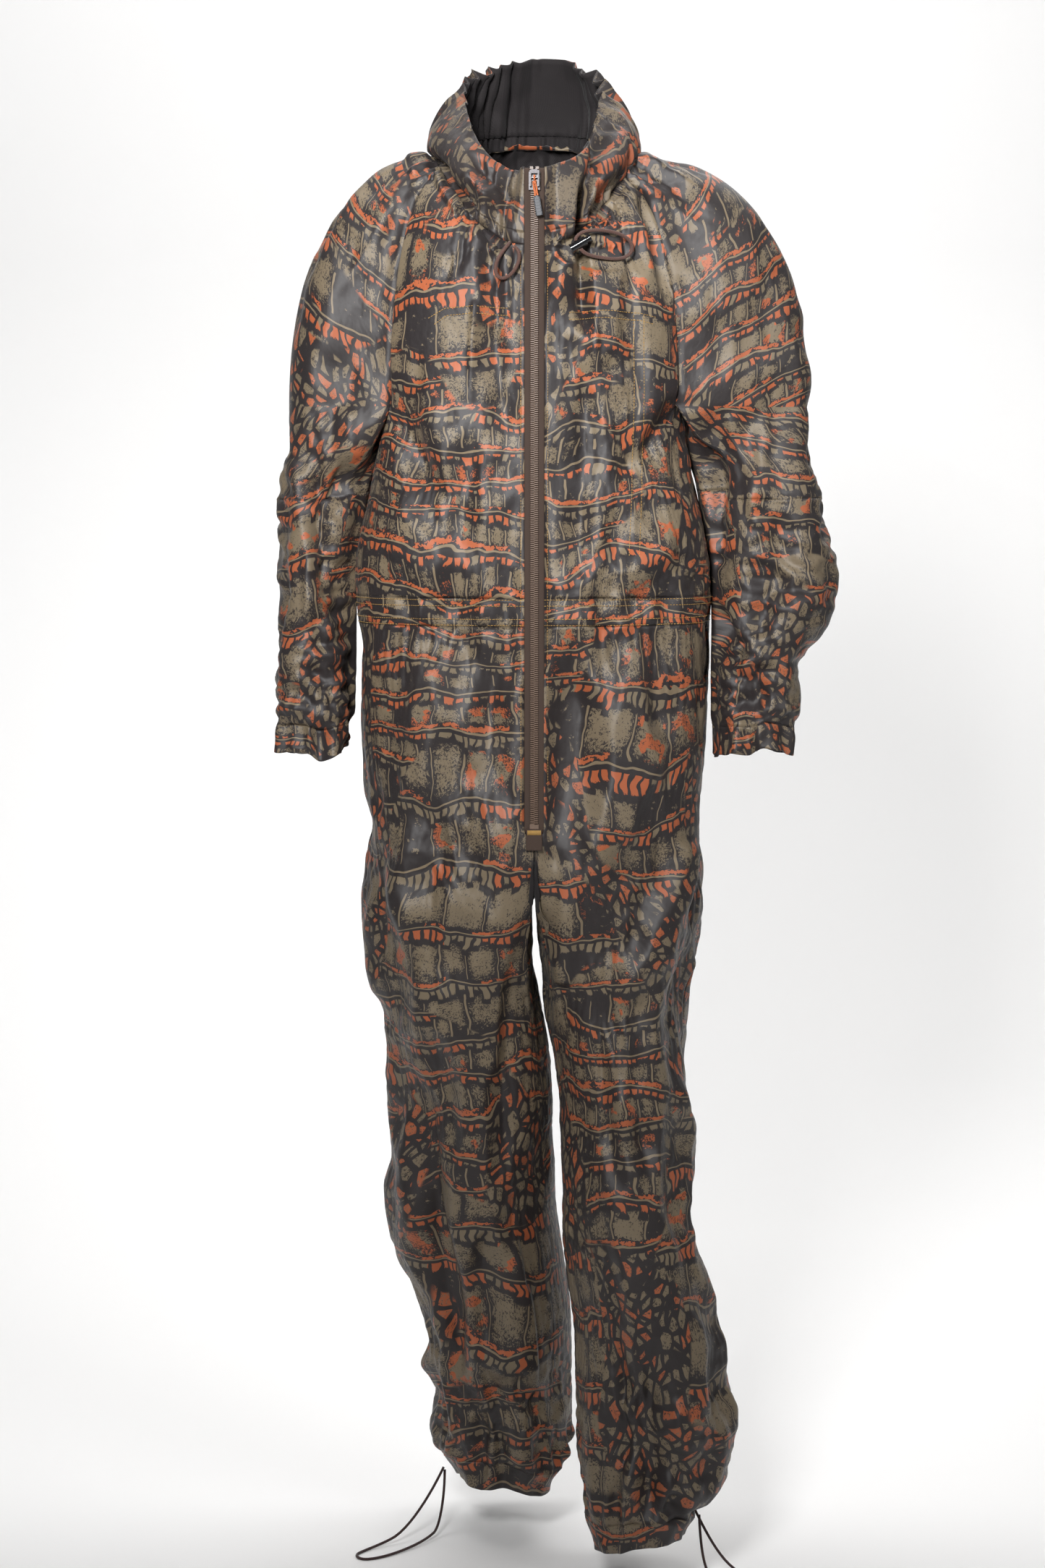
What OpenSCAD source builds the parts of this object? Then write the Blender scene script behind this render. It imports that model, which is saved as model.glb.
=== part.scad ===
// Full-length protective suit: zip front, stand collar, raglan sleeves, gathered waist,
// elastic cuffs and drawcord hems, shown as it hangs on a standing wearer.
// The origin is the neck centre on the shoulder line, -Y is the front, +X is the wearer's
// left, +Z is up. Cloth is drawn thicker than it is, so that each panel is a real solid.

/* [Cloth] */
// Thickness of the cloth panels
cloth = 1.5; // [1:0.1:3]
// Thickness of the casings sewn over the cloth
band = 1.2; // [0.8:0.1:2]

/* [Neck and collar] */
// Half width of the neckline at the sides
neck_half = 97; // [85:1:110]
// How far the neckline falls at the front
neck_drop = 95; // [70:1:110]
// How far the neckline rises at the back
neck_rise = 20; // [5:1:35]
// Distance of the neckline behind the neck centre
neck_back = 85; // [70:1:100]
// Half width of the collar's top edge
collar_half = 66; // [55:1:90]
// Distance of the collar's top edge behind the neck centre
collar_back = 62; // [50:1:90]
// Height of the collar's top edge at the front
collar_front_z = -19; // [-30:1:0]
// Height of the collar's top edge at the sides
collar_side_z = 68; // [50:1:90]
// Height of the collar's top edge at the back
collar_back_z = 108; // [80:1:125]

/* [Body] */
// Height of the armpit level, below the shoulder line
armpit_z = -250; // [-270:1:-230]
// Half width of the body at the armpits
chest_half = 158; // [145:1:170]
// Reach of the left sleeve at the armpit level
reach_left = 281; // [240:1:295]
// Reach of the right sleeve at the armpit level
reach_right = 246; // [235:1:295]
// Depth of the body behind the neck centre
back_depth = 112; // [95:1:130]
// How far the crotch seam dips between front and back
crotch_dip = 62; // [40:1:90]

/* [Cuffs and hems] */
// Outer radius of the right cuff
cuff_right_r = 37.5; // [34:0.5:45]
// Outer radius of the left cuff
cuff_left_r = 40; // [34:0.5:45]
// Height of the cuff casings
cuff_height = 28; // [20:1:40]
// Outer radius of the right hem casing
hem_right_r = 66.5; // [50:0.5:80]
// Outer radius of the left hem casing
hem_left_r = 57.5; // [50:0.5:80]
// Height of the hem casings
hem_height = 28; // [20:1:40]

/* [Zip] */
// Lean of the zip away from upright
zip_lean = 2.95; // [0:0.05:5]
// Distance of the zip in front of the neck centre, on the shoulder line
zip_front = 108; // [95:1:120]
// Half width of the tape that shows between the panels
tape_half = 10; // [8:0.5:14]
// Half width of the chain
chain_half = 4; // [3:0.1:5]
// Height of the chain in front of the tape
chain_rise = 1.6; // [1.2:0.1:2.5]
// Top of the slider along the zip
slider_top = -22; // [-30:0.5:-21]
// Length of the slider
slider_length = 20; // [14:1:24]
// Top of the bottom stop along the zip
stop_bottom = -664; // [-670:1:-600]

/* [Cords] */
// Diameter of the neck cord
neck_cord_d = 3.6; // [2.5:0.1:5]
// Diameter of the hem cords
hem_cord_d = 2.8; // [2:0.1:4]
// Diameter of the pull cord
pull_cord_d = 2; // [1.5:0.1:2.5]
// Outer diameter of the cord lock's barrel
lock_d = 8.6; // [7:0.1:12]
// Travel of the cord lock's plunger
lock_travel = 3; // [1:0.1:3.5]

/* [Hidden] */
$fn = 48;

// ---- columns round one half of the body, from the zip to the centre back ----
n_front = 9;
n_arm = 9;
n_back = 9;
n_side = 5;
n_crotch = 7;
n_half = n_front + n_arm + n_back;
n_trunk = n_front + n_side + n_back;
side_col = n_front + 2;

// ---- rows down each region ----
n_yoke = 12;
trunk_z = [-250, -275, -300, -327, -355, -383, -412, -440, -468, -496, -525, -554, -583,
    -612, -642, -672, -686];
n_trunk_rows = len(trunk_z) - 1;
waist_top = 7;
waist_bottom = 8;
n_sleeve = 14;
elbow_row = 4;
n_leg = 20;
n_collar = 6;

// ---- size tables, in the frame of one side with its outer side at +X ----
// height and half width of the trunk
trunk_half = [[-686, 176], [-620, 178], [-560, 180], [-500, 181], [-468, 180], [-440, 182],
    [-412, 184], [-383, 180], [-340, 167], [-300, 162], [-275, 158], [-250, 158]];
// height and depth of the trunk behind the neck centre
trunk_back = [[-686, 110], [-600, 116], [-520, 112], [-454, 98], [-380, 106], [-250, 112]];
// height, centre x, centre y, half width and half depth of the sleeves and the legs
sleeve_left = [[-572, 227.5, -37, 40, 40], [-545, 229, -36, 41.5, 44],
    [-508, 226, -32, 38, 50], [-470, 246, -26, 57, 56], [-420, 249, -18, 61, 60],
    [-360, 239, -10, 60, 62], [-300, 228, -4, 60, 62], [-250, 224, 0, 57, 62]];
sleeve_right = [[-572, 225, -43, 37.5, 37.5], [-560, 226.5, -41, 39, 40],
    [-530, 227, -36, 39, 45], [-480, 224, -28, 35.5, 50], [-420, 225, -18, 37, 54],
    [-360, 220, -10, 41, 57], [-300, 211, -4, 44, 60], [-250, 207, 0, 40, 60]];
leg_left = [[-1372, 112, -105, 57.5, 57.5], [-1350, 117.5, -102, 72, 70],
    [-1290, 122.5, -95, 80, 79], [-1200, 116.5, -80, 74, 82], [-1085, 96, -60, 69.5, 86],
    [-970, 92, -42, 65.5, 94], [-850, 85, -26, 72.5, 104], [-760, 91, -18, 87, 116],
    [-686, 92, -16, 88, 122]];
leg_right = [[-1370, 28.5, 45, 66.5, 66.5], [-1345, 31, 44, 73, 72],
    [-1290, 36.5, 40, 79, 77], [-1200, 45, 32, 85, 82], [-1085, 63, 18, 86, 88],
    [-970, 62.5, 4, 85, 96], [-850, 74.5, -8, 84.5, 106], [-760, 89, -14, 86, 116],
    [-686, 90, -16, 88, 122]];

// ---- small helpers ----
function mix(a, b, t) = a * (1 - t) + b * t;
function clamp(t) = min(max(t, 0), 1);
function ease(t) = let(u = clamp(t)) u * u * (3 - 2 * u);
function unit(v) = v / max(norm(v), 0.000001);
function power(v, e) = sign(v) * pow(abs(v), e);
function column(table, k) = [for (row = table) [row[0], row[k]]];
function zip_y(z) = -zip_front + z * tan(zip_lean);

// ---- the neckline, by angle: 0 at the zip, 90 at the side, 180 at the centre back ----
function neck_x(a) = neck_half * power(sin(a), 0.9);
function neck_y(a) = cos(a) > 0
    ? zip_y(-neck_drop) * power(cos(a), 0.9)
    : neck_back * power(-cos(a), 0.9);
function neck_z(a) = cos(a) > 0
    ? -neck_drop * power(cos(a), 1.6)
    : neck_rise * power(-cos(a), 1.4);
first_angle = asin(power(tape_half / neck_half, 1 / 0.9));
function yoke_angle(j) = j <= n_front ? mix(first_angle, 65, j / n_front)
    : j <= n_front + n_arm ? mix(65, 115, (j - n_front) / n_arm)
    : mix(115, 180, (j - n_front - n_arm) / n_back);

// ---- the ring at the armpit level, round the body and both upper arms ----
function trunk_point(angle, z) = let(
        w = lookup(z, trunk_half),
        f = zip_y(z),
        b = lookup(z, trunk_back))
    [w * power(sin(angle), 0.8),
        cos(angle) > 0 ? f * power(cos(angle), 0.8) : b * power(-cos(angle), 0.8), z];
function front_angle(j) = mix(first_angle * 0.8, 62, j / n_front);
split_front = trunk_point(62, armpit_z);
split_back = trunk_point(118, armpit_z);
function arm_point(c, reach) = [
    split_front[0] + (reach - split_front[0]) * power(sin(c), 0.75),
    cos(c) > 0 ? split_front[1] * power(cos(c), 0.8) : split_back[1] * power(-cos(c), 0.8),
    armpit_z];
function armpit_point(c) = [split_front[0] + (chest_half - split_front[0]) * sin(c),
    mix(split_front[1], split_back[1], (1 - cos(c)) / 2), armpit_z + 15 * sin(c)];
function low_point(j, reach) = j <= n_front ? trunk_point(front_angle(j), armpit_z)
    : j <= n_front + n_arm ? arm_point(180 * (j - n_front) / n_arm, reach)
    : trunk_point(mix(118, 180, (j - n_front - n_arm) / n_back), armpit_z);
function on_zip(p, half) = [half, zip_y(p[2]), p[2]];
function yoke_point(i, j, reach) = let(
        a = yoke_angle(j),
        t = i / n_yoke,
        p = low_point(j, reach),
        u = sin(90 * t),
        v = power(1 - cos(90 * t), 1.15),
        q = [mix(neck_x(a), p[0], u), mix(neck_y(a), p[1], u), mix(neck_z(a), p[2], v)])
    j == 0 ? on_zip(q, tape_half) : j == n_half ? [0, q[1], q[2]] : q;
function trunk_grid_point(i, j) = let(
        z = trunk_z[i],
        last = i == n_trunk_rows,
        a = j <= n_front ? front_angle(j)
            : j <= n_front + n_side ? mix(62, 118, (j - n_front) / n_side)
            : mix(118, 180, (j - n_front - n_side) / n_back),
        p = i == 0 && j > n_front && j < n_front + n_side
            ? armpit_point(180 * (j - n_front) / n_side)
            : trunk_point(a, z))
    j == 0 ? on_zip(p, last ? 0 : tape_half) : j == n_trunk ? [0, p[1], p[2]] : p;
function oval(table, z, e) = [
    lookup(z, column(table, 1)) + lookup(z, column(table, 3)) * sin(e),
    lookup(z, column(table, 2)) - lookup(z, column(table, 4)) * cos(e), z];
function crotch_point(c) = [0,
    mix(lookup(-686, trunk_back), zip_y(-686), (1 - cos(c)) / 2),
    -686 - crotch_dip * power(sin(c), 0.8)];

// ---- the grids of one side ----
function yoke_grid(reach) = [for (i = [0:n_yoke])
    [for (j = [0:n_half]) yoke_point(i, j, reach)]];
trunk = [for (i = [0:n_trunk_rows]) [for (j = [0:n_trunk]) trunk_grid_point(i, j)]];
function sleeve_top(reach) = concat(
    [for (j = [0:n_arm]) arm_point(180 * j / n_arm, reach)],
    [for (k = [n_side - 1:-1:1]) armpit_point(180 * k / n_side)]);
function sleeve_angle(j) = j <= n_arm ? mix(-40, 220, j / n_arm)
    : mix(220, 320, (j - n_arm) / n_side);
function sleeve_grid(table, reach) = let(top = sleeve_top(reach))
    [for (i = [0:n_sleeve]) [for (j = [0:n_arm + n_side - 1]) let(
        z = mix(top[j][2], -600 + cuff_height, i / n_sleeve),
        s = clamp((armpit_z - z) / 70),
        p = oval(table, z, sleeve_angle(j)))
        i == 0 ? top[j] : [mix(top[j][0], p[0], s), mix(top[j][1], p[1], s), z]]];
leg_top = concat(trunk[n_trunk_rows],
    [for (k = [1:n_crotch - 1]) crotch_point(180 * k / n_crotch)]);
function leg_angle(j) = j <= n_trunk ? mix(-50, 230, j / n_trunk)
    : mix(230, 310, (j - n_trunk) / n_crotch);
function leg_grid(table) = let(foot = table[0][0])
    [for (i = [0:n_leg]) [for (j = [0:n_trunk + n_crotch - 1]) let(
        t = i / n_leg,
        z = mix(leg_top[j][2], foot, t),
        s = ease(t / 0.3),
        p = oval(table, z, leg_angle(j)))
        i == 0 ? leg_top[j] : [mix(leg_top[j][0], p[0], s), mix(leg_top[j][1], p[1], s), z]]];

// ---- inward directions, shared by every grid that meets in a point ----
function neck_inward(a) = unit([-0.9 * neck_x(a), -0.9 * neck_y(a), -55]);
function slope(g, i, j, wrap) = let(
        rows = len(g) - 1,
        cols = len(g[0]),
        left = wrap ? (j + cols - 1) % cols : max(j - 1, 0),
        right = wrap ? (j + 1) % cols : min(j + 1, cols - 1),
        across = g[i][right] - g[i][left],
        down = g[min(i + 1, rows)][j] - g[max(i - 1, 0)][j])
    unit(cross(across, down));
function offset_row(row, dirs, d) = [for (j = [0:len(row) - 1]) row[j] + dirs[j] * d];
function yoke_dirs(g) = [for (i = [0:n_yoke]) [for (j = [0:n_half])
    j == 0 ? [0, 1, 0] : j == n_half ? [0, -1, 0]
        : i == 0 ? neck_inward(yoke_angle(j)) : slope(g, i, j, false)]];
function yoke_low_dir(yd, j) = j <= n_front ? yd[n_yoke][j]
    : j < n_front + n_side ? [0, 0, 1] : yd[n_yoke][j + n_arm - n_side];
function trunk_dirs(yd) = [for (i = [0:n_trunk_rows]) [for (j = [0:n_trunk])
    j == 0 ? [0, 1, 0] : j == n_trunk ? [0, -1, 0]
        : i == 0 ? yoke_low_dir(yd, j)
        : i == n_trunk_rows ? unit([-sin(leg_angle(j)), cos(leg_angle(j)), 0])
        : slope(trunk, i, j, false)]];
function sleeve_dirs(g, yd) = [for (i = [0:n_sleeve])
    [for (j = [0:n_arm + n_side - 1])
        i == 0 ? (j <= n_arm ? yd[n_yoke][n_front + j] : [0, 0, 1])
            : i == n_sleeve ? unit([-sin(sleeve_angle(j)), cos(sleeve_angle(j)), 0])
            : slope(g, i, j, true)]];
function leg_dirs(g, td) = [for (i = [0:n_leg]) [for (j = [0:n_trunk + n_crotch - 1])
    i == 0 ? (j <= n_trunk ? td[n_trunk_rows][j] : [0, 0, 1])
        : i == n_leg ? unit([-sin(leg_angle(j)), cos(leg_angle(j)), 0])
        : slope(g, i, j, true)]];
function shift(g, dirs, d) = [for (i = [0:len(g) - 1]) offset_row(g[i], dirs[i], d)];

yoke_l = yoke_grid(reach_left);
yoke_r = yoke_grid(reach_right);
yoke_l_dirs = yoke_dirs(yoke_l);
yoke_r_dirs = yoke_dirs(yoke_r);
trunk_l_dirs = trunk_dirs(yoke_l_dirs);
trunk_r_dirs = trunk_dirs(yoke_r_dirs);
arm_l = sleeve_grid(sleeve_left, reach_left);
arm_r = sleeve_grid(sleeve_right, reach_right);
arm_l_dirs = sleeve_dirs(arm_l, yoke_l_dirs);
arm_r_dirs = sleeve_dirs(arm_r, yoke_r_dirs);
leg_l = leg_grid(leg_left);
leg_r = leg_grid(leg_right);
leg_l_dirs = leg_dirs(leg_l, trunk_l_dirs);
leg_r_dirs = leg_dirs(leg_r, trunk_r_dirs);

// ---- the collar, all the way round from the left of the zip to its right ----
function ring_angle(j) = j <= n_half ? yoke_angle(j) : 360 - yoke_angle(2 * n_half - j);
function collar_top(a) = let(s = sin(a), c = cos(a))
    [collar_half * power(s, 0.9),
        c > 0 ? zip_y(collar_front_z) * power(c, 0.9) : collar_back * power(-c, 0.9),
        c > 0 ? collar_front_z + (collar_side_z - collar_front_z) * power(1 - c, 1.25)
            : collar_side_z + (collar_back_z - collar_side_z) * power(-c, 0.8)];
function collar_point(i, j) = let(
        a = ring_angle(j),
        t = i / n_collar,
        low = [neck_x(a), neck_y(a), neck_z(a)],
        top = collar_top(a),
        u = pow(t, 1.7),
        bulge = 1 + 0.06 * sin(180 * t) * (1 - power(abs(cos(a)), 2)),
        z = mix(low[2], top[2], t))
    j == 0 ? [tape_half, zip_y(z), z] : j == 2 * n_half ? [-tape_half, zip_y(z), z]
        : j == n_half ? [0, mix(low[1], top[1], u), z]
        : [mix(low[0], top[0], u) * bulge, mix(low[1], top[1], u) * bulge, z];
collar_grid = [for (i = [0:n_collar]) [for (j = [0:2 * n_half]) collar_point(n_collar - i, j)]];
collar_dirs = [for (i = [0:n_collar]) [for (j = [0:2 * n_half]) let(a = ring_angle(j))
    j == 0 || j == 2 * n_half ? [0, 1, 0] : j == n_half ? [0, -1, 0]
        : i == n_collar ? neck_inward(a) : slope(collar_grid, i, j, false)]];

// ---- a closed shell between an outer and an inner grid, over a window of both ----
module shell(outer, inner, r0, r1, c0, c1, wrap = false, flip = false) {
    cols = len(outer[0]);
    nc = wrap ? cols : c1 - c0 + 1;
    nr = r1 - r0 + 1;
    spans = wrap ? nc - 1 : nc - 2;
    points = concat(
        [for (r = [r0:r1]) for (c = [0:nc - 1]) outer[r][(c0 + c + cols) % cols]],
        [for (r = [r0:r1]) for (c = [0:nc - 1]) inner[r][(c0 + c + cols) % cols]]);
    half = nr * nc;
    faces = concat(
        [for (r = [0:nr - 2]) for (c = [0:spans]) let(
            a = r * nc + c,
            b = r * nc + (c + 1) % nc,
            e = a + nc,
            f = b + nc)
            each [[a, b, f], [a, f, e], [half + a, half + f, half + b],
                [half + a, half + e, half + f]]],
        [for (c = [0:spans]) let(
            a = c,
            b = (c + 1) % nc,
            e = (nr - 1) * nc + c,
            f = (nr - 1) * nc + (c + 1) % nc)
            each [[a, half + a, half + b], [a, half + b, b],
                [e, f, half + f], [e, half + f, half + e]]],
        wrap ? [] : [for (r = [0:nr - 2]) let(
            a = r * nc,
            b = a + nc,
            e = a + nc - 1,
            f = e + nc)
            each [[a, b, half + b], [a, half + b, half + a],
                [f, e, half + e], [f, half + e, half + f]]]);
    turned = flip ? [for (t = faces) [t[0], t[2], t[1]]] : faces;
    polyhedron(points = points, faces = turned, convexity = 6);
}
module right_side() {
    mirror([1, 0, 0]) children();
}
module panel(g, dirs, r0, r1, c0, c1, wrap = false, from = 0, to = 1) {
    shell(shift(g, dirs, from * cloth), shift(g, dirs, to * cloth), r0, r1, c0, c1, wrap);
}
// A strip laid on the outside of a grid, clear of nothing but its own thickness
module overlay(g, dirs, r0, r1, c0, c1) {
    shell(shift(g, dirs, -band), g, r0, r1, c0, c1);
}
module underlay(g, dirs, r0, r1, c0, c1, depth) {
    shell(shift(g, dirs, cloth), shift(g, dirs, cloth + depth), r0, r1, c0, c1);
}

// ---- cloth panels ----
print = [0.42, 0.33, 0.27];
dark = [0.2, 0.16, 0.15];
module front_body(g, yd, td) {
    color(print) panel(g, yd, 0, n_yoke, 0, n_front);
    color(print) panel(trunk, td, 0, waist_bottom, 0, side_col);
}
module front_body_left() {
    front_body(yoke_l, yoke_l_dirs, trunk_l_dirs);
}
module front_body_right() {
    right_side() front_body(yoke_r, yoke_r_dirs, trunk_r_dirs);
}
module back_half(g, yd, td) {
    color(print) panel(g, yd, 0, n_yoke, n_front + n_arm, n_half);
    color(print) panel(trunk, td, 0, waist_bottom, side_col, n_trunk);
}
module back_body() {
    back_half(yoke_l, yoke_l_dirs, trunk_l_dirs);
    right_side() back_half(yoke_r, yoke_r_dirs, trunk_r_dirs);
}
// The raglan part of a sleeve runs over the shoulder as a strip, and is a tube below the armpit
module sleeve_upper(g, yd, arm, ad) {
    strip = n_arm + 1;
    tube = n_arm + n_side;
    gi = shift(g, yd, cloth);
    ai = shift(arm, ad, cloth);
    outer = concat(
        [for (i = [0:n_yoke - 1]) for (j = [0:n_arm]) g[i][n_front + j]],
        [for (i = [0:elbow_row]) for (j = [0:tube - 1]) arm[i][j]]);
    inner = concat(
        [for (i = [0:n_yoke - 1]) for (j = [0:n_arm]) gi[i][n_front + j]],
        [for (i = [0:elbow_row]) for (j = [0:tube - 1]) ai[i][j]]);
    n = len(outer);
    low = n_yoke + elbow_row;
    at = [for (i = [0:low]) i < n_yoke ? i * strip : n_yoke * strip + (i - n_yoke) * tube];
    cells = concat(
        [for (i = [0:n_yoke - 1]) for (j = [0:n_arm - 1])
            [at[i] + j, at[i] + j + 1, at[i + 1] + j, at[i + 1] + j + 1]],
        [for (i = [n_yoke:low - 1]) for (j = [0:tube - 1]) let(k = (j + 1) % tube)
            [at[i] + j, at[i] + k, at[i + 1] + j, at[i + 1] + k]]);
    edges = concat(
        [for (j = [0:n_arm - 1]) [j, j + 1]],
        [for (j = [n_arm:tube - 1]) [at[n_yoke] + j, at[n_yoke] + (j + 1) % tube]],
        [for (j = [0:tube - 1]) [at[low] + (j + 1) % tube, at[low] + j]],
        [for (i = [0:n_yoke - 1]) [at[i + 1], at[i]]],
        [for (i = [0:n_yoke - 1]) [at[i] + n_arm, at[i + 1] + n_arm]]);
    faces = concat(
        [for (c = cells) each [[c[0], c[1], c[3]], [c[0], c[3], c[2]],
            [n + c[0], n + c[3], n + c[1]], [n + c[0], n + c[2], n + c[3]]]],
        [for (e = edges) each [[e[0], n + e[0], n + e[1]], [e[0], n + e[1], e[1]]]]);
    color(print) polyhedron(points = concat(outer, inner), faces = faces, convexity = 6);
}
module sleeve_upper_left() {
    sleeve_upper(yoke_l, yoke_l_dirs, arm_l, arm_l_dirs);
}
module sleeve_upper_right() {
    right_side() sleeve_upper(yoke_r, yoke_r_dirs, arm_r, arm_r_dirs);
}
module sleeve_lower_left() {
    color(print) panel(arm_l, arm_l_dirs, elbow_row, n_sleeve, 0, 0, true);
}
module sleeve_lower_right() {
    color(print) right_side() panel(arm_r, arm_r_dirs, elbow_row, n_sleeve, 0, 0, true);
}
module leg_front(td, leg, ld) {
    color(print) panel(trunk, td, waist_bottom, n_trunk_rows, 0, side_col);
    color(print) panel(leg, ld, 0, n_leg, -3, side_col);
}
module leg_back(td, leg, ld) {
    color(print) panel(trunk, td, waist_bottom, n_trunk_rows, side_col, n_trunk);
    color(print) panel(leg, ld, 0, n_leg, side_col, n_trunk + n_crotch - 3);
}
module leg_front_left() {
    leg_front(trunk_l_dirs, leg_l, leg_l_dirs);
}
module leg_front_right() {
    right_side() leg_front(trunk_r_dirs, leg_r, leg_r_dirs);
}
module leg_back_left() {
    leg_back(trunk_l_dirs, leg_l, leg_l_dirs);
}
module leg_back_right() {
    right_side() leg_back(trunk_r_dirs, leg_r, leg_r_dirs);
}

// ---- cuffs and hems: true round rings ----
module ring(r_out, r_in, height) {
    difference() {
        cylinder(r = r_out, h = height, $fn = 96);
        translate([0, 0, -1]) cylinder(r = r_in, h = height + 2, $fn = 96);
    }
}
module cuff(table, side, r) {
    translate([side * table[0][1], table[0][2], -600]) ring(r, r - 2, cuff_height);
}
module cuff_elastic(table, side, r) {
    translate([side * table[0][1], table[0][2], -597]) ring(r - 2, r - 3, cuff_height - 6);
}
module cuff_casing_left() {
    color(print) cuff(sleeve_left, 1, cuff_left_r);
}
module cuff_casing_right() {
    color(print) cuff(sleeve_right, -1, cuff_right_r);
}
module cuff_elastic_left() {
    color(dark) cuff_elastic(sleeve_left, 1, cuff_left_r);
}
module cuff_elastic_right() {
    color(dark) cuff_elastic(sleeve_right, -1, cuff_right_r);
}
module hem(table, side, r) {
    translate([side * table[0][1], table[0][2], table[0][0] - hem_height])
        ring(r, r - 2.5, hem_height);
}
module hem_casing_left() {
    color(print) hem(leg_left, 1, hem_left_r);
}
module hem_casing_right() {
    color(print) hem(leg_right, -1, hem_right_r);
}

// ---- waist: a casing outside and an elastic inside, on each side of the zip ----
module waist_casing_left() {
    color(print) overlay(trunk, trunk_l_dirs, waist_top, waist_bottom, 0, n_trunk);
}
module waist_casing_right() {
    color(print) right_side()
        overlay(trunk, trunk_r_dirs, waist_top, waist_bottom, 0, n_trunk);
}
module waist_elastic_left() {
    color(dark) underlay(trunk, trunk_l_dirs, waist_top, waist_bottom, 1, n_trunk, 1);
}
module waist_elastic_right() {
    color(dark) right_side()
        underlay(trunk, trunk_r_dirs, waist_top, waist_bottom, 1, n_trunk, 1);
}

// ---- chest pockets: a bag behind each front panel ----
module chest_pocket(td) {
    color(print) underlay(trunk, td, 0, 4, 2, n_front, 1);
}
module chest_pocket_left() {
    chest_pocket(trunk_l_dirs);
}
module chest_pocket_right() {
    right_side() chest_pocket(trunk_r_dirs);
}

// ---- collar ----
module collar() {
    color(print) panel(collar_grid, collar_dirs, 0, n_collar, 0, 2 * n_half);
}
module collar_lining() {
    color(dark) panel(collar_grid, collar_dirs, 0, n_collar - 1, 1, 2 * n_half - 1,
        from = 1, to = 1.6);
}
module neck_casing() {
    color(print) overlay(collar_grid, collar_dirs, n_collar - 1, n_collar, 0, 2 * n_half);
}

// ---- cords ----
function bezier(p, t) = let(u = 1 - t)
    p[0] * u * u * u + p[1] * 3 * u * u * t + p[2] * 3 * u * t * t + p[3] * t * t * t;
function path(curves, n) = concat([curves[0][0]],
    [for (c = curves) for (k = [1:n]) bezier(c, k / n)]);
module sweep(line, r, sides = 10) {
    n = len(line);
    up = [0.1, 0.2, 1];
    rings = [for (i = [0:n - 1]) let(
        d = unit(line[min(i + 1, n - 1)] - line[max(i - 1, 0)]),
        e = unit(cross(d, up)),
        f = cross(e, d))
        for (k = [0:sides - 1])
            line[i] + r * (e * cos(360 * k / sides) + f * sin(360 * k / sides))];
    faces = concat(
        [for (i = [0:n - 2]) for (k = [0:sides - 1]) let(
            a = i * sides + k,
            b = i * sides + (k + 1) % sides,
            c = a + sides,
            g = b + sides)
            each [[a, b, g], [a, g, c]]],
        [[for (k = [sides - 1:-1:0]) k]],
        [[for (k = [0:sides - 1]) (n - 1) * sides + k]]);
    polyhedron(points = rings, faces = faces, convexity = 8);
}
hem_knot_right = [-97, 30, -1386];
hem_knot_left = [167, -83, -1388];
module hem_cord_right() {
    start = hem_knot_right;
    line = path([
        [start + [0, -3, 1], start + [-12, -14, -22], start + [-36, -36, -57],
            start + [-56, -46, -63]],
        [start + [-56, -46, -63], start + [-69, -53, -67.2], start + [-80.5, -62, -67.8],
            start + [-87.5, -71, -67.8]],
        [start + [-87.5, -71, -67.8], start + [-93.5, -79, -67.8], start + [-87.5, -89.5, -67.8],
            start + [-77.5, -88, -67.8]],
        [start + [-77.5, -88, -67.8], start + [-59.5, -85.3, -67.8], start + [-24, -52, -67.8],
            start + [-10, -30, -62]],
        [start + [-10, -30, -62], start + [-4, -20.6, -59.6], start + [1, -2, -34],
            start + [1, 3, -4]]], 9);
    color(dark) sweep(line, hem_cord_d / 2);
}
module hem_cord_left() {
    start = hem_knot_left;
    line = path([
        [start + [0, -3, 1], start + [10, -8, -18], start + [26, -14, -52],
            start + [46, -20, -61]],
        [start + [46, -20, -61], start + [56, -23, -65.5], start + [78, -30, -65.8],
            start + [90, -38, -65.8]],
        [start + [90, -38, -65.8], start + [98.4, -43.6, -65.8], start + [98, -57, -65.8],
            start + [87, -58, -65.8]],
        [start + [87, -58, -65.8], start + [65, -60, -65.8], start + [30, -44, -65.8],
            start + [16, -32, -60]],
        [start + [16, -32, -60], start + [9, -26, -57.1], start + [6, -14, -34],
            start + [5, -9, -4]]], 9);
    color(dark) sweep(line, hem_cord_d / 2);
}
module neck_loop_right() {
    line = path([
        [[-24, -113.7, -92], [-28, -117.5, -98], [-38, -119, -108], [-38, -119, -118]],
        [[-38, -119, -118], [-38, -119, -130], [-27, -119, -130], [-20, -118.6, -120]],
        [[-20, -118.6, -120], [-13, -118, -110], [-13, -117.5, -101], [-20, -115.6, -96]]], 9);
    color(dark) sweep(line, neck_cord_d / 2);
}

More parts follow.
